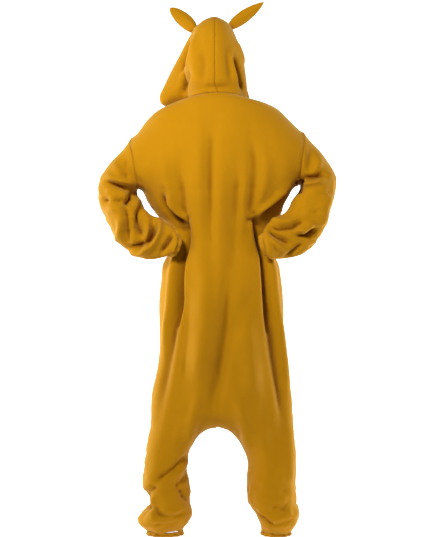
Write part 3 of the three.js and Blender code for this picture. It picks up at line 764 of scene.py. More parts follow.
    def column_places(self, rows: Sizes, side: int, face: int) -> np.ndarray:
        """Places of a half panel's columns in each row, from the side seam to the middle.

        Args:
            rows: sizes of the rows.
            side: -1 for left, 1 for right.
            face: -1 for the back, 1 for a front.

        Returns:
            The columns' X, a row of them for each row of sizes.
        """
        name = "left" if side < 0 else "right"
        edge = rows[f"{name}_x"][:, None]
        if face < 0:
            fold = rows[f"fold_{name}"][:, None]
            outer, inner = fold + side * self.step_half, fold - side * self.step_half
            turn = 1 - np.cos(np.linspace(0, np.pi / 2, self.strip_columns + 1))
            across = np.linspace(0, 1, self.step_columns + 2)[1:-1]
            onward = np.linspace(0, 1, self.back_columns + 1)
            parts = [mix(edge, outer, turn), mix(outer, inner, across), mix(inner, self.arch_x, onward)]
        else:
            closing_x = self.arch_x + side * self.strip_half
            turn = 1 - np.cos(np.linspace(0, np.pi / 2, self.front_columns + 1))
            strip = np.linspace(closing_x, self.arch_x, self.closing_columns + 1)[1:]
            strip = np.broadcast_to(strip, (len(edge), self.closing_columns))
            parts = [mix(edge, closing_x, turn), strip]
        places = np.concatenate(parts, axis=1)
        start = self.back_even_from if face < 0 else self.front_even_from
        change = ease(start, self.even_to, rows["left_z"])[:, None]
        even = (1 - np.cos(np.linspace(0, np.pi, places.shape[1]))) / 2
        return mix(places, mix(edge, self.arch_x, even), change)

    def side_fullness(
        self, distance: np.ndarray, half: np.ndarray, z: np.ndarray, leg_half: Values = math.inf
    ) -> np.ndarray:
        """Fullness at a distance from the outer side.

        Args:
            distance: distance from the outer side.
            half: half width of the whole suit there.
            z: height there.
            leg_half: half width of the leg there.

        Returns:
            Shares of the full depth.
        """
        leg = np.minimum(self.side_round, leg_half)
        reach = mix(half, leg, ease(self.legs_round_from, self.legs_round_to, z))
        return self.crown(1 - np.clip(distance / reach, 0, 1))

    def arch_fullness(self, x: np.ndarray, z: np.ndarray) -> np.ndarray:
        """Fullness beside the arch, round which the inseam runs.

        Args:
            x: places across the suit.
            z: their heights.

        Returns:
            Shares of the full depth.
        """
        middle = self.arch_top - self.arch_height
        span = np.hypot(x - self.arch_x, z - middle)
        ratio = np.hypot((x - self.arch_x) / self.arch_half, (z - middle) / self.arch_height)
        return self.under(span * np.maximum(0, 1 - 1 / np.maximum(ratio, 1e-6)))

    def suit_points(self, rows: Sizes, x: np.ndarray, face: int) -> np.ndarray:
        """Points of the suit above the arch.

        Args:
            rows: sizes of the rows.
            x: places of the columns in each row.
            face: -1 for the back, 1 for a front.

        Returns:
            A row of points for each row of sizes.
        """
        row = {name: values[:, None] for name, values in rows.items()}
        middle = (row["left_x"] + row["right_x"]) / 2
        half = (row["right_x"] - row["left_x"]) / 2
        share = np.clip((x - middle) / half, -1, 1)
        height = mix(row["left_z"], row["right_z"], (share + 1) / 2)
        reach = row["back"] + row["edge_y"] if face < 0 else row["front"] - row["edge_y"]
        round_out = self.side_fullness(half * (1 - np.abs(share)), half, height)
        depth = np.sqrt(row["armhole"] ** 2 + (reach**2 - row["armhole"] ** 2) * round_out**2)
        depth = depth * self.arch_fullness(x, height)
        if face < 0:
            past = np.maximum(row["fold_left"] - x, x - row["fold_right"])
            recess = self.recess_share * row["recess"] * ease(-self.step_half, self.step_half, past)
            depth = depth * (1 - recess)
        lift = (row["rise"] if face < 0 else row["drop"]) * (1 - share**2)
        return np.stack([x, row["edge_y"] + face * depth, height + lift], axis=-1)

    def leg_sizes(self, z: np.ndarray, side: int) -> Sizes:
        """Sizes of one leg.

        Args:
            z: the heights asked for.
            side: -1 for left, 1 for right.

        Returns:
            The sizes by name, one value for each height.
        """
        name = "left" if side < 0 else "right"
        levels = self.legs.column("z")
        read = {column: curve_through(levels, values, z) for column, values in self.legs.columns().items()}
        drop = (self.arch_top - z) / self.arch_height
        arch = self.arch_x + side * self.arch_half * np.sqrt(np.maximum(0, 1 - (1 - drop) ** 2))
        below = curve_through(levels[2:], self.legs.column(f"inner_{name}")[2:], z)
        return {
            "z": z,
            "outer": read[f"outer_{name}"],
            "inner": np.where(z > self.arch_top - self.arch_height, arch, below),
            "suit_half": (read["outer_right"] - read["outer_left"]) / 2,
            "edge_y": read["edge_y"],
            "back": read["back"],
            "front": read["front"],
        }

    def leg_points(self, sizes: Sizes, share: np.ndarray, face: int) -> np.ndarray:
        """Points of one leg's panel.

        Args:
            sizes: the leg's sizes.
            share: shares of its width for the columns, outer side first.
            face: -1 for the back, 1 for a front.

        Returns:
            A row of points for each height.
        """
        row = {name: values[:, None] for name, values in sizes.items()}
        x = mix(row["outer"], row["inner"], share[None, :])
        z = row["z"] + 0 * x
        half = np.abs(row["inner"] - row["outer"]) / 2
        reach = row["back"] + row["edge_y"] if face < 0 else row["front"] - row["edge_y"]
        outside = self.side_fullness(np.abs(x - row["outer"]), row["suit_half"], row["z"], half)
        below = self.under(np.abs(x - row["inner"]) * self.turn_under / half)
        beside = row["z"] > self.arch_top - self.arch_height
        inside = np.where(beside, self.arch_fullness(x, z), below)
        return np.stack([x, row["edge_y"] + face * reach * outside * inside, z], axis=-1)

    def half_panel(self, side: int, face: int) -> np.ndarray:
        """Points of one half panel, from the neck to the hem.

        Args:
            side: -1 for left, 1 for right.
            face: -1 for the back, 1 for a front.

        Returns:
            A grid of points.
        """
        rows = self.rows()
        upper = self.suit_points(rows, self.column_places(rows, side, face), face)
        turns = np.linspace(0, np.pi / 2, self.arch_steps + 1)[1:]
        round_arch = self.arch_top - self.arch_height * (1 - np.cos(turns))
        count = int((round_arch[-1] - self.hem_z) / self.row_step)
        z = np.concatenate([round_arch, np.linspace(round_arch[-1], self.hem_z, count + 1)[1:]])
        even = (1 - np.cos(np.linspace(0, np.pi, upper.shape[1]))) / 2
        return np.concatenate([upper, self.leg_points(self.leg_sizes(z, side), even, face)])

    def sleeve_frames(self, table: Table, steps: int) -> Sizes:
        """Centres and axes of a sleeve's rings.

        Args:
            table: the sleeve's sizes.
            steps: rings from one row of the table to the next.

        Returns:
            The centres, the axes up and back, and the way down the sleeve.
        """
        rows = range(len(table.rows))
        at = np.linspace(0, rows[-1], rows[-1] * steps + 1)
        columns = table.columns() | self.sleeve_depths.columns()
        row = {name: curve_through(rows, values, at) for name, values in columns.items()}
        zero = np.zeros(len(at))
        middle_x, middle_z = ((row[f"outer_{axis}"] + row[f"inner_{axis}"]) / 2 for axis in "xz")
        half_x, half_z = ((row[f"outer_{axis}"] - row[f"inner_{axis}"]) / 2 for axis in "xz")
        centre = np.stack([middle_x, row["mid_y"], middle_z], 1)
        across = unit(np.stack([half_z, zero, -half_x], 1))
        across = across * -np.sign(across[:, :1] * centre[:, :1])
        turn = np.radians(row["turn"])[:, None]
        level = np.array([[0.0, 1.0, 0.0]])
        return {
            "centre": centre,
            "up": np.stack([half_x, zero, half_z], 1),
            "back": (across * np.sin(turn) - level * np.cos(turn)) * row["depth"][:, None],
            "onward": across * np.cos(turn) + level * np.sin(turn),
        }

    def sleeve_grid(self, table: Table) -> np.ndarray:
        """Rings of points down a sleeve.

        Args:
            table: the sleeve's sizes.

        Returns:
            A grid of points, whose first and last column are the same.
        """
        frames = self.sleeve_frames(table, self.sleeve_steps)
        angle = np.linspace(0, 2 * np.pi, 2 * self.armhole_steps + 1)
        rings = frames["centre"][:, None] + frames["up"][:, None] * np.cos(angle)[None, :, None]
        rings = rings + frames["back"][:, None] * np.sin(angle)[None, :, None]
        rings[:, -1] = rings[:, 0]
        return rings

    def lay_out(self, cloth: Cloth) -> None:
        """Lays the five pieces of the suit.

        Args:
            cloth: the cloth they are laid into.
        """
        cloth.lay("back", self.half_panel(-1, -1), True)
        cloth.lay("back", self.half_panel(1, -1), False)
        cloth.lay("front_left", self.half_panel(-1, 1), False)
        cloth.lay("front_right", self.half_panel(1, 1), True)
        cloth.lay("sleeve_left", self.sleeve_grid(self.sleeve_left), True)
        cloth.lay("sleeve_right", self.sleeve_grid(self.sleeve_right), False)


@dataclass
class Hood:
    """Two hood halves joined over the crown, on the neck edge of the suit."""

    suit: Suit
    seam_x: float = -21
    side_y: float = 5
    last_angle: float = 0.95 * math.pi
    steps: int = 10
    levels: Table = table(
        "back_y back_z side_z lobe_z edge_y edge_z"
        " side_left lobe_left edge_left side_right lobe_right edge_right",
        (-91, 32, 22, -16, 88, -24, -112, -150, -62, 90, 92, 48),
        (-97, 52, 42, -20, 100, -10, -122, -200, -100, 87, 94, 62),
        (-101, 74, 60, 6, 108, 14, -122, -211, -124, 84, 92, 70),
        (-103, 95, 78, 40, 113, 42, -121, -198, -134, 81, 89, 74),
        (-106, 130, 115, 84, 117, 84, -119, -178, -134, 76, 85, 72),
        (-106, 163, 152, 126, 119, 126, -115, -155, -124, 69, 76, 66),
        (-101, 193, 188, 168, 119, 168, -110, -131, -110, 58, 62, 55),
        (-91, 219, 220, 206, 117, 205, -99, -109, -93, 45, 47, 42),
        (-78, 239, 245, 236, 113, 232, -79, -83, -70, 31, 31, 26),
        (-62, 254, 262, 254, 108, 250, -56, -54, -44, 8, 6, 2),
        (-46, 263, 275, 268, 104, 260, -21, -21, -21, -21, -21, -21),
    )

    def neck_places(self, side: int) -> tuple[np.ndarray, np.ndarray]:
        """The neck edge of one half.

        Args:
            side: -1 for left, 1 for right.

        Returns:
            Points from the middle of the back to the closing, and their angles on the hood.
        """
        suit = self.suit
        rows = {name: values[:1] for name, values in suit.rows().items()}
        back_x = suit.column_places(rows, side, -1)[:, ::-1]
        front_x = suit.column_places(rows, side, 1)[:, 1 : -suit.closing_columns]
        back = suit.suit_points(rows, back_x, -1)[0]
        front = suit.suit_points(rows, front_x, 1)[0]
        to_side = np.linspace(0, np.pi / 2, len(back))
        to_edge = np.linspace(np.pi / 2, self.last_angle, len(front) + 1)[1:]
        return np.concatenate([back, front]), np.concatenate([to_side, to_edge])

    def level_points(self, side: int, angle: np.ndarray) -> np.ndarray:
        """Points of every level of the table.

        Args:
            side: -1 for left, 1 for right.
            angle: the angles asked for, from the middle of the back.

        Returns:
            A row of points for each level.
        """
        name = "left" if side < 0 else "right"
        row = {column: values[:, None] for column, values in self.levels.columns().items()}
        side_x = row[f"side_{name}"]
        turn = np.sin(np.minimum(angle, np.pi / 2))[None, :]
        lean = np.cos(np.minimum(angle, np.pi / 2))[None, :]
        back = [
            mix(self.seam_x, side_x, turn),
            mix(self.side_y, row["back_y"], lean),
            mix(row["back_z"], row["side_z"], turn**2),
        ]
        way = np.clip((angle - np.pi / 2) / (self.last_angle - np.pi / 2), 0, 1)[None, :]
        bend = [(1 - way) * (1 - 2 * way), 4 * way * (1 - way), way * (2 * way - 1)]
        front = [
            side_x * bend[0] + row[f"lobe_{name}"] * bend[1] + row[f"edge_{name}"] * bend[2],
            mix(self.side_y, row["edge_y"], way),
            row["side_z"] * bend[0] + row["lobe_z"] * bend[1] + row["edge_z"] * bend[2],
        ]
        on_front = (angle > np.pi / 2)[None, :, None]
        return np.where(on_front, np.stack(front, axis=-1), np.stack(back, axis=-1))

    def points(self, side: int, neck: np.ndarray, angle: np.ndarray, level: np.ndarray) -> np.ndarray:
        """Points of the hood.

        Args:
            side: -1 for left, 1 for right.
            neck: points of the neck seam, which is level 0; the crown's ridge is the last level.
            angle: their angles.
            level: the levels asked for, with a column for each angle.

        Returns:
            One point for each level asked for.
        """
        levels = np.concatenate([neck[None], self.level_points(side, angle)])
        found = np.empty(level.shape + (3,))
        for column in range(levels.shape[1]):
            for axis in range(3):
                values = levels[:, column, axis]
                found[..., column, axis] = curve_through(range(len(levels)), values, level[..., column])
        return found

    def grid(self, side: int) -> np.ndarray:
        """Rows of points from the neck seam to the ridge.

        Args:
            side: -1 for left, 1 for right.

        Returns:
            A grid of points.
        """
        neck, angle = self.neck_places(side)
        level = np.linspace(0, len(self.levels.rows), self.steps * len(self.levels.rows) + 1)
        return self.points(side, neck, angle, np.repeat(level[:, None], len(angle), axis=1))

    def lay_out(self, cloth: Cloth) -> None:
        """Lays the two halves."""
        cloth.lay("hood_left", self.grid(-1), True)
        cloth.lay("hood_right", self.grid(1), False)


@dataclass(frozen=True)
class Ear:
    """A leaf with its foot pinched round on the hood and its rim curled forward.

    Its level on the hood counts from the neck seam, and its angle in half turns from the back.
    """

    name: str
    side: int
    level: float
    foot_span: float
    lift: float
    tip: Place
    half_width: float
    cup: float
    fullness: float
    flat: tuple[float, float]
    angle: float = 0.5
    wall: float = 1.6
    leaf_gap: float = 0.15
    leaf_share: float = 0.74
    foot_curl: float = 0.09
    foot_way: float = 0.16
    # Painted shade round the ear's foot, where it meets the hood: its most and its width.
    foot_shade: float = 0.35
    foot_shade_width: float = 9
    tip_width: float = 0.03
    swell_power: float = 0.8
    bow: float = 10
    pinch: float = 2.4
    wave: float = 0.8
    wave_size: float = 16.0
    calm_edge: float = 12
    across_steps: int = 22
    along_steps: int = 56

    def foot(self, hood: Hood, across: np.ndarray) -> np.ndarray:
        """Places on the hood under the foot.

        Args:
            hood: the hood that the ear stands on.
            across: places along the foot, from its one end (-1) to the other (1).

        Returns:
            A point for each.
        """
        angle = np.pi * (self.angle + self.foot_curl * across**2)
        level = self.level + self.foot_span / 2 * across
        return hood.points(self.side, np.zeros((len(across), 3)), angle, level[None])[0]

    def grid(self, hood: Hood) -> np.ndarray:
        """Rows of points from the foot to the tip.

        Args:
            hood: the hood that the ear stands on.

        Returns:
            A grid of points.
        """
        across = np.linspace(-1, 1, self.across_steps + 1)
        foot = self.foot(hood, across)
        middle = self.foot(hood, np.zeros(1))[0]
        length = np.array(self.tip) - middle
        along = unit(length)
        span = foot[-1] - foot[0]
        width = unit(span - along * (span @ along))
        forward = np.cross(along, width)
        forward = forward * np.sign(forward[1])
        way = np.linspace(0, 1, self.along_steps + 1)[:, None]
        swell = np.sin(np.pi * mix(self.foot_way, 1, way) ** self.swell_power)
        half = self.half_width * np.maximum(self.tip_width, swell) ** self.fullness
        bow = self.cup * across**2 * np.sin(np.pi * way) + self.bow * way * (1 - way)
        leaf = middle + length * way[..., None] + width * (half * across)[..., None]
        leaf = leaf + forward * bow[..., None]
        seat = foot + along * (self.lift + self.pinch * across**2)[:, None]
        return mix(leaf, seat[None], ((1 - way) ** 3)[..., None])

    def make(self, hood: Hood, dresser: "Dresser") -> None:
        """Makes the ear's two leaves, laid together.

        Args:
            hood: the hood that the ear stands on.
            dresser: gives the leaves their finish.
        """
        cloth = Cloth()
        cloth.lay(self.name, self.grid(hood), self.side > 0)
        cloth.join()
        normals = cloth.normals(cloth.triangles())
        from_edge = cloth.distance_to(np.flatnonzero(cloth.neighbours(cloth.triangles())[1]))
        from_foot = cloth.distance_to(np.unique(cloth.places[self.name][0][0]))
        # Painted shade darkens the leaves round their foot.
        shade_marks = ShadeMarks(self.foot_shade * bell(from_foot, self.foot_shade_width), np.zeros(len(from_foot)))
        wave = self.wave * SoftNoise(21).at(cloth.rest / self.wave_size)
        wave = wave * ease(0, self.calm_edge, from_edge)
        cloth.points = cloth.points + wave[:, None] * normals
        outer_lift = self.wall + self.leaf_gap
        leaves = (("outer", dresser.fleece, outer_lift), ("inner", dresser.trim, -self.leaf_gap))
        for part, finish, lift in leaves:
            name = f"{self.name}_{part}"
            points = cloth.points + lift * normals
            made = shell(name, points, cloth.faces[self.name], normals, self.wall, shade_marks)
            dresser.dress(made, finish, "fleece", name)


# Creases of this garment, all drawn as seen from behind. A row holds a crease's line, depth and
# width, and then its fold and lean where they aren't the usual ones.
SIDE_FOLDS = creases(
    -1,
    (((-192, -322), (-184, -368), (-156, -408), (-112, -452)), 15, 9, Fold.TUCK, 1),
    (((-112, -418), (-118, -490), (-134, -564), (-140, -690), (-152, -770)), 42, 7),
    (((-137, -630), (-163, -802), (-190, -960), (-206, -1080)), 11, 14),
    (((-140, -452), (-146, -520), (-162, -600), (-172, -720), (-196, -880)), 17, 13, Fold.RIDGE),
    (((252, -306), (187, -367), (122, -425)), 17, 10, Fold.TUCK, -1),
    (((114, -398), (124, -470), (142, -540), (153, -690), (160, -790)), 40, 7),
    (((150, -650), (168, -826), (196, -1000), (212, -1130)), 11, 14),
    (((146, -439), (156, -500), (172, -600), (182, -720), (206, -880), (230, -1080)), 17, 13, Fold.RIDGE),
    (((84, -418), (120, -428), (146, -452)), 10, 8),
    (((-96, -452), (-128, -455), (-150, -440)), 8, 8),
)
BACK_CREASES = creases(
    -1,
    (((-138, -196), (-136, -290), (-116, -430), (-104, -600)), 5, 20),
    (((-104, -250), (-100, -380), (-92, -520)), 3, 13, Fold.RIDGE),
    (((-71, -110), (-76, -290), (-72, -500), (-66, -700)), 6, 27, Fold.RIDGE),
    (((-32, -80), (-38, -230), (-34, -420), (-28, -560)), 4, 20),
    (((-3, -150), (-8, -450), (-3, -700), (4, -860)), 6, 26, Fold.RIDGE),
    (((58, -170), (50, -330), (44, -500), (40, -640)), 4, 21),
    (((82, -240), (78, -360), (68, -480)), 3, 12, Fold.RIDGE),
    (((99, -100), (106, -230), (100, -340), (84, -470)), 5, 21),
    (((-241, -170), (-268, -240)), 2.5, 17),
    (((152, -200), (146, -300), (118, -392)), 4, 16, Fold.RIDGE),
    (((-196, -200), (-186, -300), (-150, -400)), 4, 16, Fold.RIDGE),
    (((-46, -520), (-54, -760), (-84, -1020)), 9, 25, Fold.RIDGE),
    (((24, -580), (12, -780), (-14, -960), (-44, -1120)), 14, 27),
    (((142, -610), (70, -720), (30, -850)), 4, 26),
    (((84, -740), (92, -880), (104, -1030)), 10, 30, Fold.RIDGE),
    (((-112, -620), (-120, -800), (-140, -1000)), 6, 24),
    (((140, -900), (148, -1010), (150, -1120)), 3, 22),
    (((-66, -980), (-98, -1090), (-116, -1200)), 9, 17, Fold.RIDGE),
    (((48, -1000), (80, -1100), (98, -1210)), 9, 17, Fold.RIDGE),
    (((-150, -1060), (-178, -1190), (-176, -1260)), 3, 22),
    (((165, -1080), (176, -1220), (184, -1390)), 5, 26),
    (((222, -1060), (234, -1200), (232, -1330)), 6, 14, Fold.RIDGE),
    (((-104, -1200), (-153, -1251), (-232, -1300)), 7, 11, Fold.TUCK, 1),
    (((-112, -1262), (-143, -1312), (-120, -1353), (-108, -1392)), 5, 10, Fold.TUCK, 1),
    (((-206, -1300), (-250, -1340), (-252, -1380), (-206, -1396)), 10, 12),
    (((-231, -1336), (-226, -1440)), 6, 9, Fold.RIDGE),
    (((-110, -1398), (-158, -1412), (-214, -1404)), 5, 10, Fold.TUCK, -1),
    (((-128, -1432), (-190, -1446), (-262, -1436)), 4, 9),
    (((250, -1350), (205, -1384), (140, -1392)), 3, 13, Fold.TUCK, -1),
    (((256, -1426), (196, -1440), (138, -1434)), 6, 10),
    (((118, -1404), (150, -1420), (176, -1452)), 7, 8, Fold.TUCK, 1),
)
SLEEVE_CREASES = creases(
    -1,
    (((-396, -288), (-340, -305), (-284, -320)), 13, 10, Fold.TUCK, 1),
    (((-276, -322), (-296, -345), (-322, -376)), 15, 11),
    (((-321, -356), (-314, -430), (-308, -512)), 7, 9, Fold.TUCK, -1),
    (((-262, -366), (-270, -400), (-274, -440), (-268, -488)), 15, 11),
    (((-312, -514), (-270, -512), (-236, -490), (-221, -463), (-224, -418)), 17, 10, Fold.TUCK, -1),
    (((-376, -330), (-352, -384), (-340, -450)), 8, 18, Fold.RIDGE),
    (((-404, -346), (-358, -364), (-318, -352)), 8, 12),
    (((-330, -190), (-322, -250), (-300, -304)), 5, 18),
    (((-356, -232), (-330, -276)), 5, 12, Fold.RIDGE),
    (((-350, -500), (-326, -440), (-322, -400)), 7, 12, Fold.RIDGE),
    (((-244, -430), (-246, -480), (-262, -528)), 8, 9, Fold.RIDGE),
    (((-158, -462), (-178, -500), (-202, -538)), 10, 8),
    (((350, -270), (310, -281), (266, -290)), 14, 10, Fold.TUCK, 1),
    (((272, -290), (256, -312), (246, -332)), 15, 11),
    (((246, -474), (284, -474), (320, -446)), 14, 10, Fold.TUCK, 1),
    (((276, -492), (244, -524), (206, -552)), 8, 8),
    (((152, -432), (190, -448), (236, -446), (268, -424)), 10, 10, Fold.TUCK, 1),
    (((150, -448), (188, -480), (236, -506)), 10, 9),
    (((160, -480), (196, -512), (224, -536)), 7, 8, Fold.RIDGE),
    (((366, -320), (340, -380), (332, -452)), 8, 17, Fold.RIDGE),
    (((376, -322), (348, -338), (318, -330)), 4, 12),
    (((304, -170), (300, -230), (288, -280)), 5, 16),
    (((336, -214), (312, -258)), 5, 12, Fold.RIDGE),
)
FRONT_CREASES = creases(
    1,
    (((-96, -150), (-84, -300), (-70, -430)), 7, 24),
    (((86, -160), (70, -300), (58, -440)), 7, 24),
    (((-160, -320), (-118, -430), (-90, -570)), 8, 18, Fold.TUCK, -1),
    (((156, -320), (112, -430), (84, -580)), 8, 18, Fold.TUCK, 1),
    (((-50, -240), (-48, -420), (-58, -610)), 5, 24, Fold.RIDGE),
    (((34, -260), (30, -430), (40, -640)), 5, 24, Fold.RIDGE),
    (((-96, -640), (-108, -800), (-114, -980)), 7, 28, Fold.RIDGE),
    (((72, -620), (92, -800), (110, -990)), 7, 28, Fold.RIDGE),
    (((-30, -720), (-24, -880), (-52, -1080)), 8, 24),
    (((20, -760), (40, -920), (30, -1090)), 7, 22),
    (((-150, -1130), (-182, -1240), (-196, -1330)), 6, 18),
    (((150, -1120), (176, -1240), (180, -1350)), 6, 18),
    (((-110, -1330), (-180, -1352), (-238, -1338)), 8, 12, Fold.TUCK, -1),
    (((104, -1336), (170, -1362), (240, -1352)), 8, 12, Fold.TUCK, -1),
    (((-116, -1394), (-190, -1410), (-258, -1392)), 7, 12, Fold.TUCK, -1),
    (((118, -1398), (186, -1414), (250, -1400)), 7, 12, Fold.TUCK, -1),
    (((-384, -290), (-330, -318), (-286, -326)), 8, 12, Fold.TUCK, 1),
    (((352, -280), (310, -306), (264, -312)), 8, 12, Fold.TUCK, -1),
    (((-352, -380), (-300, -400), (-262, -380)), 6, 11),
    (((336, -370), (290, -394), (250, -366)), 6, 11),
    (((-322, -470), (-276, -480), (-232, -452)), 6, 10),
    (((300, -470), (262, -482), (214, -446)), 6, 10),
)
HOOD_CREASES = creases(
    0,
    (((-96, 216), (-108, 170), (-122, 124), (-132, 78)), 10, 9, Fold.TUCK, 1),
    (((-108, 92), (-115, 62), (-122, 40), (-130, 8)), 10, 9),
    (((-124, 100), (-132, 60), (-142, 18)), 5, 10, Fold.RIDGE),
    (((-84, 186), (-92, 120), (-96, 70)), 5, 12, Fold.RIDGE),
    (((46, 138), (54, 108), (65, 71), (80, 10)), 21, 8),
    (((48, 190), (64, 152), (82, 112)), 7, 7, Fold.RIDGE),
) + creases(
    -1,
    (((-70, 150), (-62, 90), (-68, 30)), 5, 15),
    (((22, 180), (28, 110), (36, 30)), 5, 14),
    (((34, 150), (44, 96), (56, 30)), 5, 10, Fold.RIDGE),
    (((-62, 26), (-20, 22), (40, 26)), 4, 9),
)
# Each set with the share of its depths that is pressed into the cloth
BODY_CREASES = ((BACK_CREASES, 1.7), (FRONT_CREASES, 0.9), (SLEEVE_CREASES, 2.0))
# The slot creases' depths also set the painted shade at the bottoms of the slots.
SLOT_CREASES = ((SIDE_FOLDS, 1.2), (HOOD_CREASES, 1.3))
# Column of a hood half along which its hem is sewn, counted from the face opening
HOOD_HEM_COLUMN = -7
# Rings of a cuff: distance past the sleeve's end, size, and how far its gathers stand out
CUFF_RINGS = ((0.7, 1.0, 0.0), (9.7, 0.97, 1.0), (18.7, 0.99, 1.0))
# Rings of a hem: height, how much wider it is than the leg, and how far its gathers stand out
HEM_RINGS = ((-1474.6, 0.0, 0.0), (-1481.5, -2.0, 1.0), (-1489.0, 3.0, 1.3))


# Node trees


class Socket:
    """A value in a node tree that takes part in plain sums."""

    def __init__(self, graph: "Graph", source: bpy.types.NodeSocket) -> None:
        """Wraps an output of one of the tree's nodes."""
        self.graph = graph
        self.source = source

    def sum(self, operation: str, first: "Term", second: "Term") -> "Socket":
        """Adds a Math node for two sockets or numbers."""
        return self.graph.node("ShaderNodeMath", {"operation": operation}, {0: first, 1: second})

    def __add__(self, other: "Term") -> "Socket":
        """This value and another one."""
        return self.sum("ADD", self, other)

    __radd__ = __add__

    def __mul__(self, other: "Term") -> "Socket":
        """This value times another one."""
        return self.sum("MULTIPLY", self, other)

    __rmul__ = __mul__


Term = Socket | float


class Graph:
    """The node tree of one material."""

    def __init__(self, name: str) -> None:
        """Starts a material's empty tree; the material takes the name."""
        self.material = bpy.data.materials.new(name)
        self.material.use_nodes = True
        self.tree = self.material.node_tree
        self.tree.nodes.clear()

    def node(
        self, kind: str, settings: dict | None = None, inputs: dict | None = None, output: int | str = 0
    ) -> Socket:
        """Adds a node.

        Args:
            kind: the node's type.
            settings: its own settings.
            inputs: values or sockets for its inputs, by name, identifier or number.
            output: which of its outputs to give back.

        Returns:
            That output.
        """
        made = self.tree.nodes.new(kind)
        for name, value in (settings or {}).items():
            setattr(made, name, value)
        for name, value in (inputs or {}).items():
            by_identifier = {socket.identifier: socket for socket in made.inputs}
            target = by_identifier.get(name) or made.inputs[name]
            if isinstance(value, Socket):
                self.tree.links.new(value.source, target)
            else:
                target.default_value = value
        return Socket(self, made.outputs[output] if len(made.outputs) else None)

    def blend(self, factor: Term, first: Shade, second: Shade) -> Socket:
        """Colour between two colours."""
        inputs = {"Factor_Float": factor, "A_Color": first, "B_Color": second}
        return self.node("ShaderNodeMix", {"data_type": "RGBA"}, inputs, output=2)

    def noise(self, scale: float, detail: float, roughness: float = 0.5) -> Socket:
        """Cloudy noise between 0 and 1 over the piece; scale counts the clouds in a metre."""
        inputs = {"Vector": self.place(), "Scale": scale, "Detail": detail, "Roughness": roughness}
        return self.node("ShaderNodeTexNoise", {}, inputs)

    def attribute(self, name: str) -> Socket:
        """A mark of the mesh as a number."""
        return self.node("ShaderNodeAttribute", {"attribute_name": name}, output="Fac")

    def place(self) -> Socket:
        """The place on the object in metres."""
        return self.node("ShaderNodeTexCoord", output="Object")

    def bump(self, height: Socket, strength: float, distance: float, under: Socket | None = None) -> Socket:
        """A normal roughened by a height, over another roughened normal if one is given."""
        inputs = {"Strength": strength, "Distance": distance, "Height": height}
        return self.node("ShaderNodeBump", {}, inputs if under is None else inputs | {"Normal": under})

    def finish(self, **inputs: "Socket | Shade | float") -> bpy.types.Material:
        """Ends the tree with the main shader.

        Args:
            inputs: values or sockets for the shader's inputs, whose names have underscores here.

        Returns:
            The finished material.
        """
        named = {name.replace("_", " "): value for name, value in inputs.items()}
        shader = self.node("ShaderNodeBsdfPrincipled", {}, named)
        self.node("ShaderNodeOutputMaterial", {}, {"Surface": shader})
        return self.material


def opaque(colour: Colour, share: float = 1.0) -> Shade:
    """A share of a colour, with full cover."""
    return (*(share * part for part in colour), 1.0)


@dataclass(frozen=True)
class Fleece:
    """Short-napped fleece: clouded colour, with painted shade in the folds, hollows and along the seams, and
    a soft sheen.
    """

    name: str
    tone: Colour
    light: Colour
    # Colour of the painted shade in folds and along seams.
    deep: Colour
    fold_shade_share: float = 0.75
    seam_shade_share: float = 0.3
    sheen: float = 0.22
    sheen_tint: Colour = (0.9, 0.75, 0.35)
    nap: float = 0.35

    def material(self) -> bpy.types.Material:
        """Builds the finish.

        Returns:
            The material.
        """
        graph = Graph(self.name)
        cloud = graph.noise(scale=7, detail=3, roughness=0.55)
        tufts = graph.noise(scale=420, detail=4, roughness=0.7)
        fibre = graph.noise(scale=1700, detail=2, roughness=0.6)
        rumple = graph.noise(scale=46, detail=3)
        colour = graph.blend(0.6 * cloud + 0.35 * tufts, opaque(self.tone), opaque(self.light))
        # Painted shade: the fold and seam marks darken the colour towards the deep colour.
        for mark, share in (("fold", self.fold_shade_share), ("seam", self.seam_shade_share)):
            colour = graph.blend(share * graph.attribute(mark), colour, opaque(self.deep))
        soft = graph.bump(rumple, strength=0.25, distance=0.004)
        return graph.finish(
            Base_Color=colour,
            Roughness=0.82 + 0.12 * tufts,
            Normal=graph.bump(0.6 * tufts + 0.4 * fibre, self.nap, distance=0.0012, under=soft),
            Sheen_Weight=self.sheen,
            Sheen_Roughness=0.45,
            Sheen_Tint=opaque(self.sheen_tint),
            Specular_IOR_Level=0.08,
        )


@dataclass(frozen=True)
class Moulded:
    """Satin moulded plastic of the buttons."""

    name: str
    tone: Colour
    veins: Colour

    def material(self) -> bpy.types.Material:
        """Builds the finish.

        Returns:
            The material.
        """
        graph = Graph(self.name)
        swirl = graph.noise(scale=130, detail=5, roughness=0.6)
        scuffs = graph.noise(scale=900, detail=2)
        return graph.finish(
            Base_Color=graph.blend(swirl, opaque(self.tone), opaque(self.veins)),
            Roughness=0.28 + 0.2 * scuffs,
            Normal=graph.bump(scuffs, strength=0.08, distance=0.0003),
        )


@dataclass(frozen=True)
class Thread:
    """Sewing thread, twisted from strands."""

    name: str
    tone: Colour
    shade: float = 0.6

    def material(self) -> bpy.types.Material:
        """Builds the finish.

        Returns:
            The material.
        """
        graph = Graph(self.name)
        strands = graph.noise(scale=2600, detail=2)
        return graph.finish(
            Base_Color=graph.blend(strands, opaque(self.tone, self.shade), opaque(self.tone)),
            Roughness=0.55 + 0.2 * strands,
            Normal=graph.bump(strands, strength=0.3, distance=0.0002),
        )


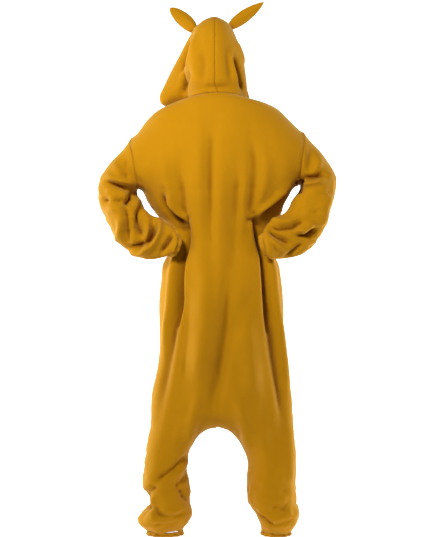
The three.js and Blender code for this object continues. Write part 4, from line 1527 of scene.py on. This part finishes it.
@dataclass(frozen=True)
class Paper:
    """Pale studio paper, which glows behind the garment and not under the camera."""

    name: str
    tone: Colour
    grain: float = 0.985
    glow: float = 0.8
    glow_from: float = -0.5
    glow_to: float = 0.1

    def material(self) -> bpy.types.Material:
        """Builds the finish.

        Returns:
            The material.
        """
        graph = Graph(self.name)
        grain = graph.noise(scale=300, detail=2)
        depth = graph.node("ShaderNodeSeparateXYZ", {}, {"Vector": graph.place()}, output="Y")
        behind = {"Value": depth, "From Min": self.glow_from, "From Max": self.glow_to}
        lit = graph.node("ShaderNodeMapRange", {"interpolation_type": "SMOOTHSTEP"}, behind)
        return graph.finish(
            Base_Color=graph.blend(grain, opaque(self.tone, self.grain), opaque(self.tone)),
            Roughness=0.9 + 0.05 * grain,
            Emission_Color=graph.blend(lit, opaque(self.tone, 0), opaque(self.tone)),
            Emission_Strength=self.glow,
        )


# Dressing the pieces


@dataclass
class Dresser:
    """Gives each piece its finish and ties it to the garment, hiding the solids it stands for."""

    fleece: bpy.types.Material
    trim: bpy.types.Material
    plastic: bpy.types.Material
    thread: bpy.types.Material

    def dress(
        self, piece: bpy.types.Object, material: bpy.types.Material, slot: str | None, *nodes: str
    ) -> bpy.types.Object:
        """Finishes a piece and ties it to the garment.

        Args:
            piece: the object.
            material: its finish.
            slot: not used.
            nodes: the solids it stands for.

        Returns:
            The same object.
        """
        piece.data.materials.append(material)
        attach(piece, "root")
        if nodes:
            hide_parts(*nodes)
        return piece


@dataclass(frozen=True)
class Stitching:
    """A line of thread dashes lying on the cloth, each thin and sunk at its two ends."""

    length: float = 3.2
    gap: float = 1.6
    radius: float = 0.45
    sides: int = 5

    RINGS: ClassVar[np.ndarray] = np.array([0.0, 0.2, 0.8, 1.0])
    SWELL: ClassVar[np.ndarray] = np.array([0.35, 1.0, 1.0, 0.35])
    SINK: ClassVar[np.ndarray] = np.array([-0.7, 0.2, 0.2, -0.7])

    def dashes(self, line: np.ndarray, normals: np.ndarray) -> tuple[np.ndarray, list[Face]]:
        """Dashes along a line.

        Args:
            line: points of the line.
            normals: which way the cloth faces at each.

        Returns:
            Points and faces of all the dashes.
        """
        travelled = travel(line)
        angle = np.linspace(0, 2 * np.pi, self.sides, endpoint=False)
        points, faces = [], []
        for start in np.arange(self.gap, travelled[-1] - self.length, self.length + self.gap):
            at = start + self.RINGS * self.length
            centre = np.stack([np.interp(at, travelled, values) for values in line.T], 1)
            normal = unit(np.stack([np.interp(at, travelled, values) for values in normals.T], 1))
            across = unit(np.cross(normal, unit(centre[-1] - centre[0])))
            centre = centre + normal * (self.SINK * self.radius)[:, None]
            ring = across[:, None] * np.cos(angle)[None, :, None]
            ring = ring + normal[:, None] * np.sin(angle)[None, :, None]
            base = len(points) * len(self.RINGS) * self.sides
            last = base + (len(self.RINGS) - 1) * self.sides
            points.append((centre[:, None] + ring * (self.radius * self.SWELL)[:, None, None]).reshape(-1, 3))
            faces.extend(ring_faces(base, len(self.RINGS), self.sides))
            faces.append(tuple(base + j for j in reversed(range(self.sides))))
            faces.append(tuple(last + j for j in range(self.sides)))
        return np.concatenate(points), faces

    def sew(self, name: str, lines: list[Line]) -> bpy.types.Object:
        """Makes one object of the dashes along several lines.

        Args:
            name: the object's name.
            lines: points and normals of each line.

        Returns:
            The object.
        """
        points, faces, count = [], [], 0
        for line, normals in lines:
            found, sides = self.dashes(line, normals)
            points.append(found)
            faces.extend(tuple(i + count for i in face) for face in sides)
            count += len(found)
        return make_object(name, np.concatenate(points), faces)


@dataclass(frozen=True)
class Rumples:
    """Small uneven waves of the cloth: long upright ones on the body, cross ones on the sleeves.

    A wave has a size along X, Y and Z. A pair of heights or widths is where a zone starts and
    where it is reached in full.
    """

    drift_size: float = 140.0
    upright: Place = (52.0, 90.0, 210.0)
    upright_height: float = 3.0
    upright_more: float = 2.6
    broad: Place = (95.0, 95.0, 130.0)
    broad_height: float = 2.2
    small: Place = (24.0, 34.0, 40.0)
    small_height: float = 0.5
    small_more: float = 0.9
    crumple: Place = (30.0, 30.0, 19.0)
    crumple_height: float = 3.6
    hood_calm: float = 0.6
    hood_z: Point = (10, 60)
    low_z: Point = (-560, -760)
    legs_z: Point = (-1230, -1330)
    sleeves_x: Point = (215, 290)
    sleeves_z: Point = (-250, -330)

    def push(self, rest: np.ndarray) -> np.ndarray:
        """How far the waves move the cloth.

        Args:
            rest: places of the cloth before any crease.

        Returns:
            How far each point moves out.
        """
        x, _, z = rest.T
        drift = np.stack([SoftNoise(seed).at(rest / self.drift_size) for seed in (11, 12, 13)], axis=1)
        upright = SoftNoise(1).at((rest + 40 * drift) / self.upright)
        broad = SoftNoise(2).at((rest + 30 * drift) / self.broad)
        small = SoftNoise(3).at((rest + 20 * drift) / self.small)
        crumple = 1 - 2 * np.abs(SoftNoise(4).at((rest + 18 * drift) / self.crumple))
        at_sleeves = ease(*self.sleeves_x, np.abs(x)) * ease(*self.sleeves_z, z)
        busy = np.maximum(ease(*self.legs_z, z), at_sleeves)
        upright_height = self.upright_height + self.upright_more * ease(*self.low_z, z)
        body = upright_height * upright + self.broad_height * broad
        body = body * (1 - self.hood_calm * ease(*self.hood_z, z))
        body = body + (self.small_height + self.small_more * busy) * small
        return body + self.crumple_height * busy * crumple


@dataclass
class Garment:
    """The suit and hood in one cloth, creased and ready to be cut into its pieces.

    Where the rows of the tables meet, at the tops of the armholes and under them, the cloth is
    evened out more.
    """

    suit: Suit = field(default_factory=Suit)
    cloth: Cloth = field(default_factory=Cloth)
    wall: float = 2.0
    even_share: float = 0.6
    even_top_z: float = -135
    even_top_width: float = 34
    even_under_z: float = -313
    even_under_width: float = 30
    even_under_x: Point = (120, 190)
    hood_from: float = 12
    # Painted shade: how deep a slot must be to be darkened in full, and how the hollows to darken are found.
    slot_shade_full: float = 24
    hollow_passes: int = 16
    hollow_shade_from: float = 1.1
    hollow_shade_span: float = 3.4
    seam_dip: float = 1.1
    seam_dip_width: float = 4.0
    # Width of the painted shade along each seam.
    seam_shade_width: float = 2.2
    pucker: float = 0.7
    pucker_size: float = 9.0
    pucker_width: float = 14

    def __post_init__(self) -> None:
        """Lays the panels, joins them and shapes them."""
        self.hood = Hood(self.suit)
        self.suit.lay_out(self.cloth)
        self.hood.lay_out(self.cloth)
        self.cloth.join()
        self.triangles = self.cloth.triangles()
        self.shape()

    def shape(self) -> None:
        """Presses the creases, adds the small rumples, sinks the seams and marks where shade is painted in
        folds, hollows and along seams.
        """
        cloth, rest = self.cloth, self.cloth.rest
        cloth.smooth(self.triangles, 6, 0.5)
        cloth.smooth(self.triangles, 60, self.joins())
        normals = cloth.normals(self.triangles)
        on_suit = rest[:, 2] <= self.hood_from
        push = self.pressed(BODY_CREASES, normals, Rumples().push(rest), on_suit)
        slots = self.pressed(SLOT_CREASES, normals, np.zeros(len(rest)), np.full(len(rest), True))
        cloth.points = cloth.points + (push + slots)[:, None] * normals
        cloth.smooth(self.triangles, 1, 0.5)
        seam = cloth.seam_distance()
        normals = cloth.normals(self.triangles)
        pucker = self.pucker * SoftNoise(5).at(rest / self.pucker_size) * bell(seam, self.pucker_width)
        dip = -self.seam_dip * bell(seam, self.seam_dip_width) + pucker
        cloth.points = cloth.points + dip[:, None] * normals
        self.normals = cloth.normals(self.triangles)
        # Painted shade: the cloth's hollows and the bottoms of the deep slots are darkened, and so is a thin
        # line along each seam.
        painted_fold_shade = np.maximum(self.hollow_shade(), np.clip(-slots / self.slot_shade_full, 0, 1))
        self.shade_marks = ShadeMarks(painted_fold_shade, bell(seam, self.seam_shade_width))

    def pressed(
        self,
        sets: tuple[tuple[list[Crease], float], ...],
        normals: np.ndarray,
        start: np.ndarray,
        chosen: np.ndarray,
    ) -> np.ndarray:
        """Adds up what sets of creases do to the cloth.

        Args:
            sets: the sets of creases, each with the share of its depths that is used.
            normals: which way the cloth faces at each point.
            start: what is already done to each point.
            chosen: which points the creases move.

        Returns:
            How far each point moves out along its normal.
        """
        total = start
        for creases, share in sets:
            total = total + share * sum(crease.push(self.cloth.rest, normals) for crease in creases) * chosen
        return total

    def joins(self) -> np.ndarray:
        """Where the rows of the tables meet at the armholes and need evening out.

        Returns:
            One share for each point.
        """
        x, _, z = self.cloth.rest.T
        top = bell(z - self.even_top_z, self.even_top_width)
        under = bell(z - self.even_under_z, self.even_under_width)
        under = under * ease(*self.even_under_x, np.abs(x - self.suit.arch_x))
        return self.even_share * np.clip(top + under, 0, 1)

    def hollow_shade(self) -> np.ndarray:
        """How deep each point lies below the cloth round it, which sets how much shade is painted there.

        Returns:
            One depth for each point, from 0 to 1.
        """
        evened = Cloth(points=self.cloth.points.copy(), faces=self.cloth.faces)
        evened.smooth(self.triangles, self.hollow_passes, 0.6)
        depth = np.einsum("ij,ij->i", evened.points - self.cloth.points, self.normals)
        return np.clip((depth - self.hollow_shade_from) / self.hollow_shade_span, 0, 1)

    def cut(self, piece: str) -> bpy.types.Object:
        """Cuts out one piece as a shell."""
        faces = self.cloth.faces[piece]
        return shell(piece, self.cloth.points, faces, self.normals, self.wall, self.shade_marks)

    def line(self, piece: str, column: int, lift: float = 0.2) -> Line:
        """A line down one column of a piece.

        Args:
            piece: the piece's name.
            column: the column's number.
            lift: how far the line lies off the cloth.

        Returns:
            Its points and their normals.
        """
        ids = self.cloth.places[piece][0][:, column]
        normals = self.normals[ids]
        return self.cloth.points[ids] + lift * normals, normals


@dataclass(frozen=True)
class Casing:
    """An elastic casing: a gathered ring of doubled cloth, run through a few frames.

    A frame has a centre, the axes up and back, its size and how far the gathers stand out.
    """

    name: str
    frames: list[Sizes]
    waves: int
    swell: float
    seed: int
    flip: bool
    flat: tuple[float, float]
    rests: str
    wall: float = 2.0
    puff: float = 1.8
    drift: float = 1.6
    drift_cells: float = 1.6
    height: float = 0.75
    height_change: float = 0.35
    height_cells: float = 2.3
    bluntness: float = 0.8
    # Painted shade in the gathers' hollows: the depth that darkens in full, and the most.
    gather_shade_full: float = 12
    gather_shade_most: float = 0.5
    stitch_lift: float = 0.15
    stitch_row: int = 2
    steps_per_wave: int = 12
    along_steps: int = 14

    def grid(self) -> np.ndarray:
        """Rings of points between the frames, with uneven gathers.

        Returns:
            A grid of points, whose first and last column are the same.
        """
        angle = np.linspace(0, 2 * np.pi, self.waves * self.steps_per_wave + 1)
        noise = SoftNoise(self.seed)
        ring = np.stack([np.cos(angle), np.sin(angle)], axis=1)
        drift = noise.at(np.column_stack([ring * self.drift_cells, np.zeros(len(angle))]))
        uneven = noise.at(np.column_stack([ring * self.height_cells, np.full(len(angle), 4.0)]))
        height = self.height + self.height_change * uneven
        gathers = np.sin(self.waves * angle + self.drift * drift) * height
        gathers = np.sign(gathers) * np.abs(gathers) ** self.bluntness
        rows = []
        for way in np.linspace(0, 1, self.along_steps + 1):
            at = way * (len(self.frames) - 1)
            i = min(int(at), len(self.frames) - 2)
            frame, onward = self.frames[i : i + 2]
            frame = {key: mix(value, onward[key], at - i) for key, value in frame.items()}
            radius = np.linalg.norm(frame["up"])
            puff = self.puff * math.sin(math.pi * way) + self.swell * gathers * frame["wave"]
            scale = (frame["size"] + puff / radius)[:, None]
            row = frame["centre"] + scale * (ring[:, :1] * frame["up"] + ring[:, 1:] * frame["back"])
            row[-1] = row[0]
            rows.append(row)
        return np.array(rows)

    def make(self, dresser: Dresser) -> None:
        """Makes the ring with a line of stitches round it.

        Args:
            dresser: gives the pieces their finish.
        """
        cloth = Cloth()
        cloth.lay(self.name, self.grid(), self.flip)
        cloth.join()
        normals = cloth.normals(cloth.triangles())
        # Painted shade in the hollows between the gathers.
        radius = np.linalg.norm(cloth.rest - cloth.rest.mean(axis=0), axis=1)
        hollow = np.clip((np.median(radius) - radius) / self.gather_shade_full, 0, self.gather_shade_most)
        shade_marks = ShadeMarks(hollow, np.zeros(len(hollow)))
        made = shell(self.name, cloth.points, cloth.faces[self.name], normals, self.wall, shade_marks)
        dresser.dress(made, dresser.trim, "fleece", self.name)
        ids = cloth.places[self.name][0][self.stitch_row]
        line = (cloth.points[ids] + self.stitch_lift * normals[ids], normals[ids])
        stitches = Stitching(length=2.6, gap=1.4, radius=0.4).sew(f"{self.name}_stitches", [line])
        dresser.dress(stitches, dresser.thread, None)


@dataclass(frozen=True)
class Button:
    """A flat round button with a raised rim and four sewn holes."""

    radius: float = 10.0
    height: float = 3.4
    rim: float = 2.2
    dish: float = 1.1
    round_over: float = 0.9
    hole_radius: float = 1.1
    hole_depth: float = 1.7
    hole_reach: float = 2.4
    hole_edge: float = 0.25
    foot: tuple[Point, ...] = ((1.0, 1.7), (0.985, 0.6), (0.92, 0.0))
    rings: int = 26
    around: int = 64

    def profile(self, share: float, angle: np.ndarray) -> np.ndarray:
        """Height of the top face.

        Args:
            share: share of the radius.
            angle: angles round the button.

        Returns:
            One height for each angle.
        """
        r = np.full(len(angle), share) * self.radius
        inside = self.radius - self.rim
        top = self.height - self.dish * ease(inside + 0.3, inside - 1.2, r)
        top = top - self.round_over * ease(self.radius - 1.0, self.radius, r) ** 2
        for turn in np.arange(4) * np.pi / 2 + np.pi / 4:
            across = r * np.cos(angle) - self.hole_reach * np.cos(turn)
            up = r * np.sin(angle) - self.hole_reach * np.sin(turn)
            low, high = self.hole_radius + self.hole_edge, self.hole_radius - self.hole_edge
            top = top - self.hole_depth * ease(low, high, np.hypot(across, up))
        return top

    def mesh(self) -> tuple[np.ndarray, list[Face]]:
        """A button lying flat, its foot at height 0.

        Returns:
            Its points and faces.
        """
        angle = np.linspace(0, 2 * np.pi, self.around, endpoint=False)
        rows = []
        for share in np.linspace(0, 1, self.rings + 1)[1:]:
            x = share * self.radius * np.cos(angle)
            y = share * self.radius * np.sin(angle)
            rows.append(np.stack([x, y, self.profile(share, angle)], 1))
        for reach, height in self.foot:
            ring = reach * self.radius * np.stack([np.cos(angle), np.sin(angle)], 1)
            rows.append(np.column_stack([ring, np.full(self.around, height)]))
        points = np.concatenate([*rows, [[0, 0, self.height - self.dish], [0, 0, 0]]])
        faces = ring_faces(0, len(rows), self.around, flip=True)
        last = (len(rows) - 1) * self.around
        for j in range(self.around):
            k = (j + 1) % self.around
            faces.append((len(points) - 2, j, k))
            faces.append((len(points) - 1, last + k, last + j))
        return points, faces

    def place(self, name: str, seat: np.ndarray, normal: np.ndarray) -> tuple[bpy.types.Object, np.ndarray]:
        """Makes a button on its seat.

        Args:
            name: the object's name.
            seat: the middle of its foot.
            normal: which way it faces.

        Returns:
            The object, and its turned axes for the thread in its holes.
        """
        side = unit(np.cross([0.0, 0.0, 1.0], normal))
        axes = np.stack([side, np.cross(normal, side), normal])
        points, faces = self.mesh()
        return make_object(name, seat + points @ axes, faces), axes


@dataclass(frozen=True)
class Closing:
    """The strip over the front closing, with its buttons, buttonholes and stitching."""

    garment: Garment
    dresser: Dresser
    button: Button = field(default_factory=Button)
    wall: float = 1.8
    gap: float = 0.3
    rounding: float = 0.72
    count: int = 6
    first_z: float = -75
    last_z: float = -640
    seat: float = 0.7
    stitch_lift: float = 0.15
    thread_low: float = 2.45
    thread_high: float = 2.75
    thread_past: float = 0.5
    slit_half: Point = (1.3, 12.4)
    slit_steps: int = 40

    def strip(self) -> tuple[bpy.types.Object, np.ndarray, np.ndarray]:
        """Makes the strip from the fronts' own points.

        Returns:
            The strip, and its points and their normals as grids.
        """
        suit, cloth = self.garment.suit, self.garment.cloth
        halves = []
        for piece in ("front_left", "front_right"):
            ids = cloth.places[piece][0]
            rows = int(np.argmin(np.abs(cloth.rest[ids[:, -1], 2] - suit.strip_end)))
            halves.append(ids[: rows + 1, -suit.closing_columns - 1 :])
        wide = np.concatenate([halves[0], halves[1][:, -2::-1]], axis=1)
        points, normals = cloth.points[wide], self.garment.normals[wide]
        rounding = self.rounding * np.abs(np.linspace(-1, 1, wide.shape[1])) ** 6
        lifted = points + normals * (self.gap + self.wall - rounding)[None, :, None]
        own = Cloth()
        own.lay("placket", lifted, False)
        own.join()
        # Painted shade along the strip's two long edges, where it meets the fronts.
        edge = np.abs(own.rest[:, 0] - suit.arch_x) / suit.strip_half
        shade_marks = ShadeMarks(np.zeros(len(own.points)), 0.5 * bell(1 - edge, 0.12))
        facing = own.normals(own.triangles())
        made = shell("placket", own.points, own.faces["placket"], facing, self.wall, shade_marks)
        return made, lifted, normals

    def thread_lines(self, seat: np.ndarray, axes: np.ndarray) -> list[Line]:
        """Two short lines of thread between a button's holes.

        Args:
            seat: the middle of the button's foot.
            axes: the button's turned axes.

        Returns:
            Points and normals of each line.
        """
        reach = self.button.hole_reach / math.sqrt(2)
        end = reach + self.thread_past
        lines = []
        for side in (-reach, reach):
            ends = [(-end, side, self.thread_low), (0, side, self.thread_high), (end, side, self.thread_low)]
            lines.append((seat + np.array(ends) @ axes, np.repeat(axes[2:], 3, axis=0)))
        return lines

    def make(self) -> None:
        """Makes the strip, buttons, buttonholes and threads."""
        dresser = self.dresser
        strip, points, normals = self.strip()
        dresser.dress(strip, dresser.trim, "fleece", "placket")
        middle = points.shape[1] // 2
        sewn, threads, slits = [], [], []
        for i in range(self.count):
            z = mix(self.first_z, self.last_z, i / (self.count - 1))
            row = int(np.argmin(np.abs(points[:, middle, 2] - z)))
            normal = normals[row, middle]
            seat = points[row, middle] + self.seat * normal
            made, axes = self.button.place(f"button_{i + 1}_round", seat, normal)
            sewn.append(dresser.dress(made, dresser.plastic, "buttons", f"button_{i + 1}"))
            threads.extend(self.thread_lines(seat, axes))
            slits.append(self.buttonhole(seat - self.seat * normal, axes))
        lifted = points + self.stitch_lift * normals
        edges = [(lifted[1:-1, column], normals[1:-1, column]) for column in (1, points.shape[1] - 2)]
        edges.append((lifted[-4, 1:-1], normals[-4, 1:-1]))
        stitches = [
            Stitching(length=3.9, gap=0.25, radius=0.35).sew("button_threads", threads),
            Stitching(length=1.3, gap=0.25, radius=0.5).sew("buttonhole_stitches", slits),
            Stitching().sew("placket_stitches", edges),
        ]
        for piece in stitches:
            sewn.append(dresser.dress(piece, dresser.thread, None))

    def buttonhole(self, seat: np.ndarray, axes: np.ndarray) -> Line:
        """The line round a buttonhole, which shows beside its button.

        Args:
            seat: the middle of the buttonhole.
            axes: the button's turned axes.

        Returns:
            Its points and their normals.
        """
        turn = np.linspace(0, 2 * np.pi, self.slit_steps)
        half_width, half_length = self.slit_half
        height = np.full(self.slit_steps, 0.2)
        flat = np.stack([half_width * np.cos(turn), half_length * np.sin(turn), height], axis=1)
        return seat + flat @ axes, np.repeat(axes[2:], self.slit_steps, axis=0)


@dataclass(frozen=True)
class Lamp:
    """A soft rectangular lamp; its spread is in degrees."""

    name: str
    place: Place
    aim: Place
    size: tuple[float, float]
    watts: float
    tint: Colour = (1, 1, 1)
    spread: float = 180

    def hang(self) -> None:
        """Puts the lamp in the scene and points it at its aim."""
        light = bpy.data.lights.new(self.name, "AREA")
        light.shape = "RECTANGLE"
        light.spread = math.radians(self.spread)
        light.size, light.size_y = self.size
        light.energy = self.watts
        light.color = self.tint
        made = bpy.data.objects.new(self.name, light)
        made.location = self.place
        toward = Vector(self.aim) - Vector(self.place)
        made.rotation_euler = toward.to_track_quat("-Z", "Y").to_euler()
        bpy.context.scene.collection.objects.link(made)


@dataclass(frozen=True)
class Studio:
    """Pale sweep, soft lamps and the camera, in metres."""

    floor_z: float = -1.4905
    floor_half: float = 9.0
    floor_front: float = -7.0
    floor_back: float = 6.6
    bend_radius: float = 1.4
    bend_steps: int = 15
    wall_height: float = 9.0
    paper: Colour = (0.92, 0.92, 0.92)
    air: Colour = (1, 0.88, 0.7)
    air_strength: float = 0.1
    aim_x: float = -0.012
    aim_z: float = -0.583
    distance: float = 5.0
    view_height: float = 1.826
    sensor: float = 24.0
    side_tint: Colour = (1.0, 0.93, 0.75)
    rim_tint: Colour = (0.92, 1.0, 0.95)

    def sweep(self) -> None:
        """A floor that curves up into the wall behind."""
        profile = [(self.floor_front, 0.0), (self.floor_back, 0.0)]
        for turn in np.linspace(0, np.pi / 2, self.bend_steps + 1)[1:]:
            onward, up = self.bend_radius * math.sin(turn), self.bend_radius * math.cos(turn)
            profile.append((self.floor_back + onward, self.bend_radius - up))
        profile.append((self.floor_back + self.bend_radius, self.wall_height))
        sides = (-self.floor_half, self.floor_half)
        points = np.array([(x, y, self.floor_z + z) for x in sides for y, z in profile])
        count = len(profile)
        faces = [(i, i + 1, count + i + 1, count + i) for i in range(count - 1)]
        made = make_object("sweep", points / METRES, faces)
        made.data.materials.append(Paper("studio_paper", self.paper).material())
        made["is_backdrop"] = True

    def light(self) -> None:
        """Light from the camera's side and above, strips at both sides and rims from behind."""
        lamps = [
            Lamp("key", (-0.85, -2.0, 0.85), (0, 0, -0.2), (0.5, 0.5), 18.5, spread=92),
            Lamp("fill", (1.5, -2.7, 0.4), (0, 0, -0.35), (0.9, 0.9), 5),
            Lamp("side_left", (-2.4, -0.6, -0.9), (0, 0, -0.75), (0.4, 1.2), 16, self.side_tint),
            Lamp("side_right", (2.4, -0.6, -0.9), (0, 0, -0.75), (0.4, 1.2), 14, self.side_tint),
            Lamp("rim_left", (-1.9, 0.8, -0.4), (0, 0, -0.6), (0.5, 2.0), 48, self.rim_tint),
            Lamp("rim_right", (1.9, 0.8, -0.4), (0, 0, -0.6), (0.5, 2.0), 48, self.rim_tint),
            Lamp("wall", (0, 3.4, 2.4), (0, 7.0, -0.8), (3.0, 3.0), 260),
        ]
        for lamp in lamps:
            lamp.hang()
        world = bpy.data.worlds.new("studio")
        world.use_nodes = True
        background = world.node_tree.nodes["Background"]
        background.inputs["Color"].default_value = opaque(self.air)
        background.inputs["Strength"].default_value = self.air_strength
        bpy.context.scene.world = world

    def camera(self) -> None:
        """The camera, level behind the garment."""
        lens = bpy.data.cameras.new("camera")
        lens.sensor_fit = "VERTICAL"
        lens.sensor_height = self.sensor
        lens.lens = self.sensor * self.distance / self.view_height
        made = bpy.data.objects.new("camera", lens)
        made.location = (self.aim_x, -self.distance, self.aim_z)
        made.rotation_euler = (math.pi / 2, 0, 0)
        bpy.context.scene.collection.objects.link(made)
        bpy.context.scene.camera = made

    def build(self) -> None:
        """Sets up the whole studio."""
        self.sweep()
        self.light()
        self.camera()
        bpy.context.scene.view_settings.view_transform = "Standard"


def plain(values: Iterable) -> list:
    """Bounds as nested lists of plain numbers."""
    return [plain(value) if hasattr(value, "__len__") else float(value) for value in values]


def main() -> None:
    """Builds the garment, its trimmings and the studio."""
    logging.basicConfig(level=logging.INFO, format="%(message)s")
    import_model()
    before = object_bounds()
    # Each fleece's third colour is its painted shade, in folds and along seams.
    fleece = Fleece("fleece", (0.365, 0.159, 0.0005), (0.445, 0.2, 0.0008), (0.13, 0.032, 0.0003))
    trim = Fleece("fleece_trim", (0.38, 0.168, 0.002), (0.46, 0.21, 0.004), (0.14, 0.04, 0.0005))
    plastic = Moulded("button_plastic", (0.2, 0.09, 0.01), (0.36, 0.18, 0.03))
    thread = Thread("thread", (0.5, 0.24, 0.02))
    dresser = Dresser(fleece.material(), trim.material(), plastic.material(), thread.material())
    garment = Garment()
    for piece in garment.cloth.faces:
        dresser.dress(garment.cut(piece), dresser.fleece, "fleece", piece)
    Closing(garment, dresser).make()
    make_ears(garment, dresser)
    make_bands(garment, dresser)
    sew_hood(garment, dresser)
    Studio().build()
    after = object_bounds()
    {"cad": plain(before), "visual": plain(after)}


def make_ears(garment: Garment, dresser: Dresser) -> None:
    """Makes both ears.

    Args:
        garment: the garment, whose hood carries the ears.
        dresser: gives the pieces their finish.
    """
    ears = (
        Ear("ear_left", -1, 8.62, 0.62, -0.3, (-174, 8, 304), 27, 14, 0.55, (0.060, 0.130)),
        Ear("ear_right", 1, 9.0, 0.62, 0.3, (146, 2, 323), 24, 12, 0.8, (0.054, 0.152)),
    )
    for ear in ears:
        ear.make(garment.hood, dresser)


def make_bands(garment: Garment, dresser: Dresser) -> None:
    """Makes the elastic casings at the wrists and ankles.

    Args:
        garment: the garment, whose sleeves and legs they end.
        dresser: gives the pieces their finish.
    """
    suit = garment.suit
    for side, word, table in ((-1, "left", suit.sleeve_left), (1, "right", suit.sleeve_right)):
        end = {key: values[-1] for key, values in suit.sleeve_frames(table, 1).items()}
        rings = []
        for distance, size, wave in CUFF_RINGS:
            centre = end["centre"] + distance * end["onward"]
            rings.append({"centre": centre, "up": end["up"], "back": end["back"], "size": size, "wave": wave})
        rests = f"sleeve_{word}"
        Casing(f"cuff_{word}", rings, 10, 1.6, 31 + side, side < 0, (0.30, 0.022), rests).make(dresser)
    for side, word in ((-1, "left"), (1, "right")):
        sizes = suit.leg_sizes(np.array([suit.hem_z]), side)
        outer, inner, back, front = (float(sizes[key][0]) for key in ("outer", "inner", "back", "front"))
        middle = np.array([(outer + inner) / 2, (front - back) / 2, 0.0])
        up = np.array([(outer - inner) / 2, 0.0, 0.0])
        deep = np.array([0.0, -(front + back) / 2, 0.0])
        rings = []
        for z, grow, wave in HEM_RINGS:
            size = 1 + grow / np.linalg.norm(up)
            rings.append({"centre": middle + (0, 0, z), "up": up, "back": deep, "size": size, "wave": wave})
        Casing(f"hem_{word}", rings, 14, 2.2, 41 + side, side < 0, (0.44, 0.018), "back").make(dresser)



def sew_hood(garment: Garment, dresser: Dresser) -> bpy.types.Object:
    """Sews the turned hem round the face opening of the hood.

    Args:
        garment: the garment with the hood.
        dresser: gives the thread its finish.

    Returns:
        The stitches.
    """
    lines = [garment.line(piece, HOOD_HEM_COLUMN) for piece in ("hood_left", "hood_right")]
    return dresser.dress(Stitching().sew("hood_hem_stitches", lines), dresser.thread, None)


if __name__ == "__main__":
    main()
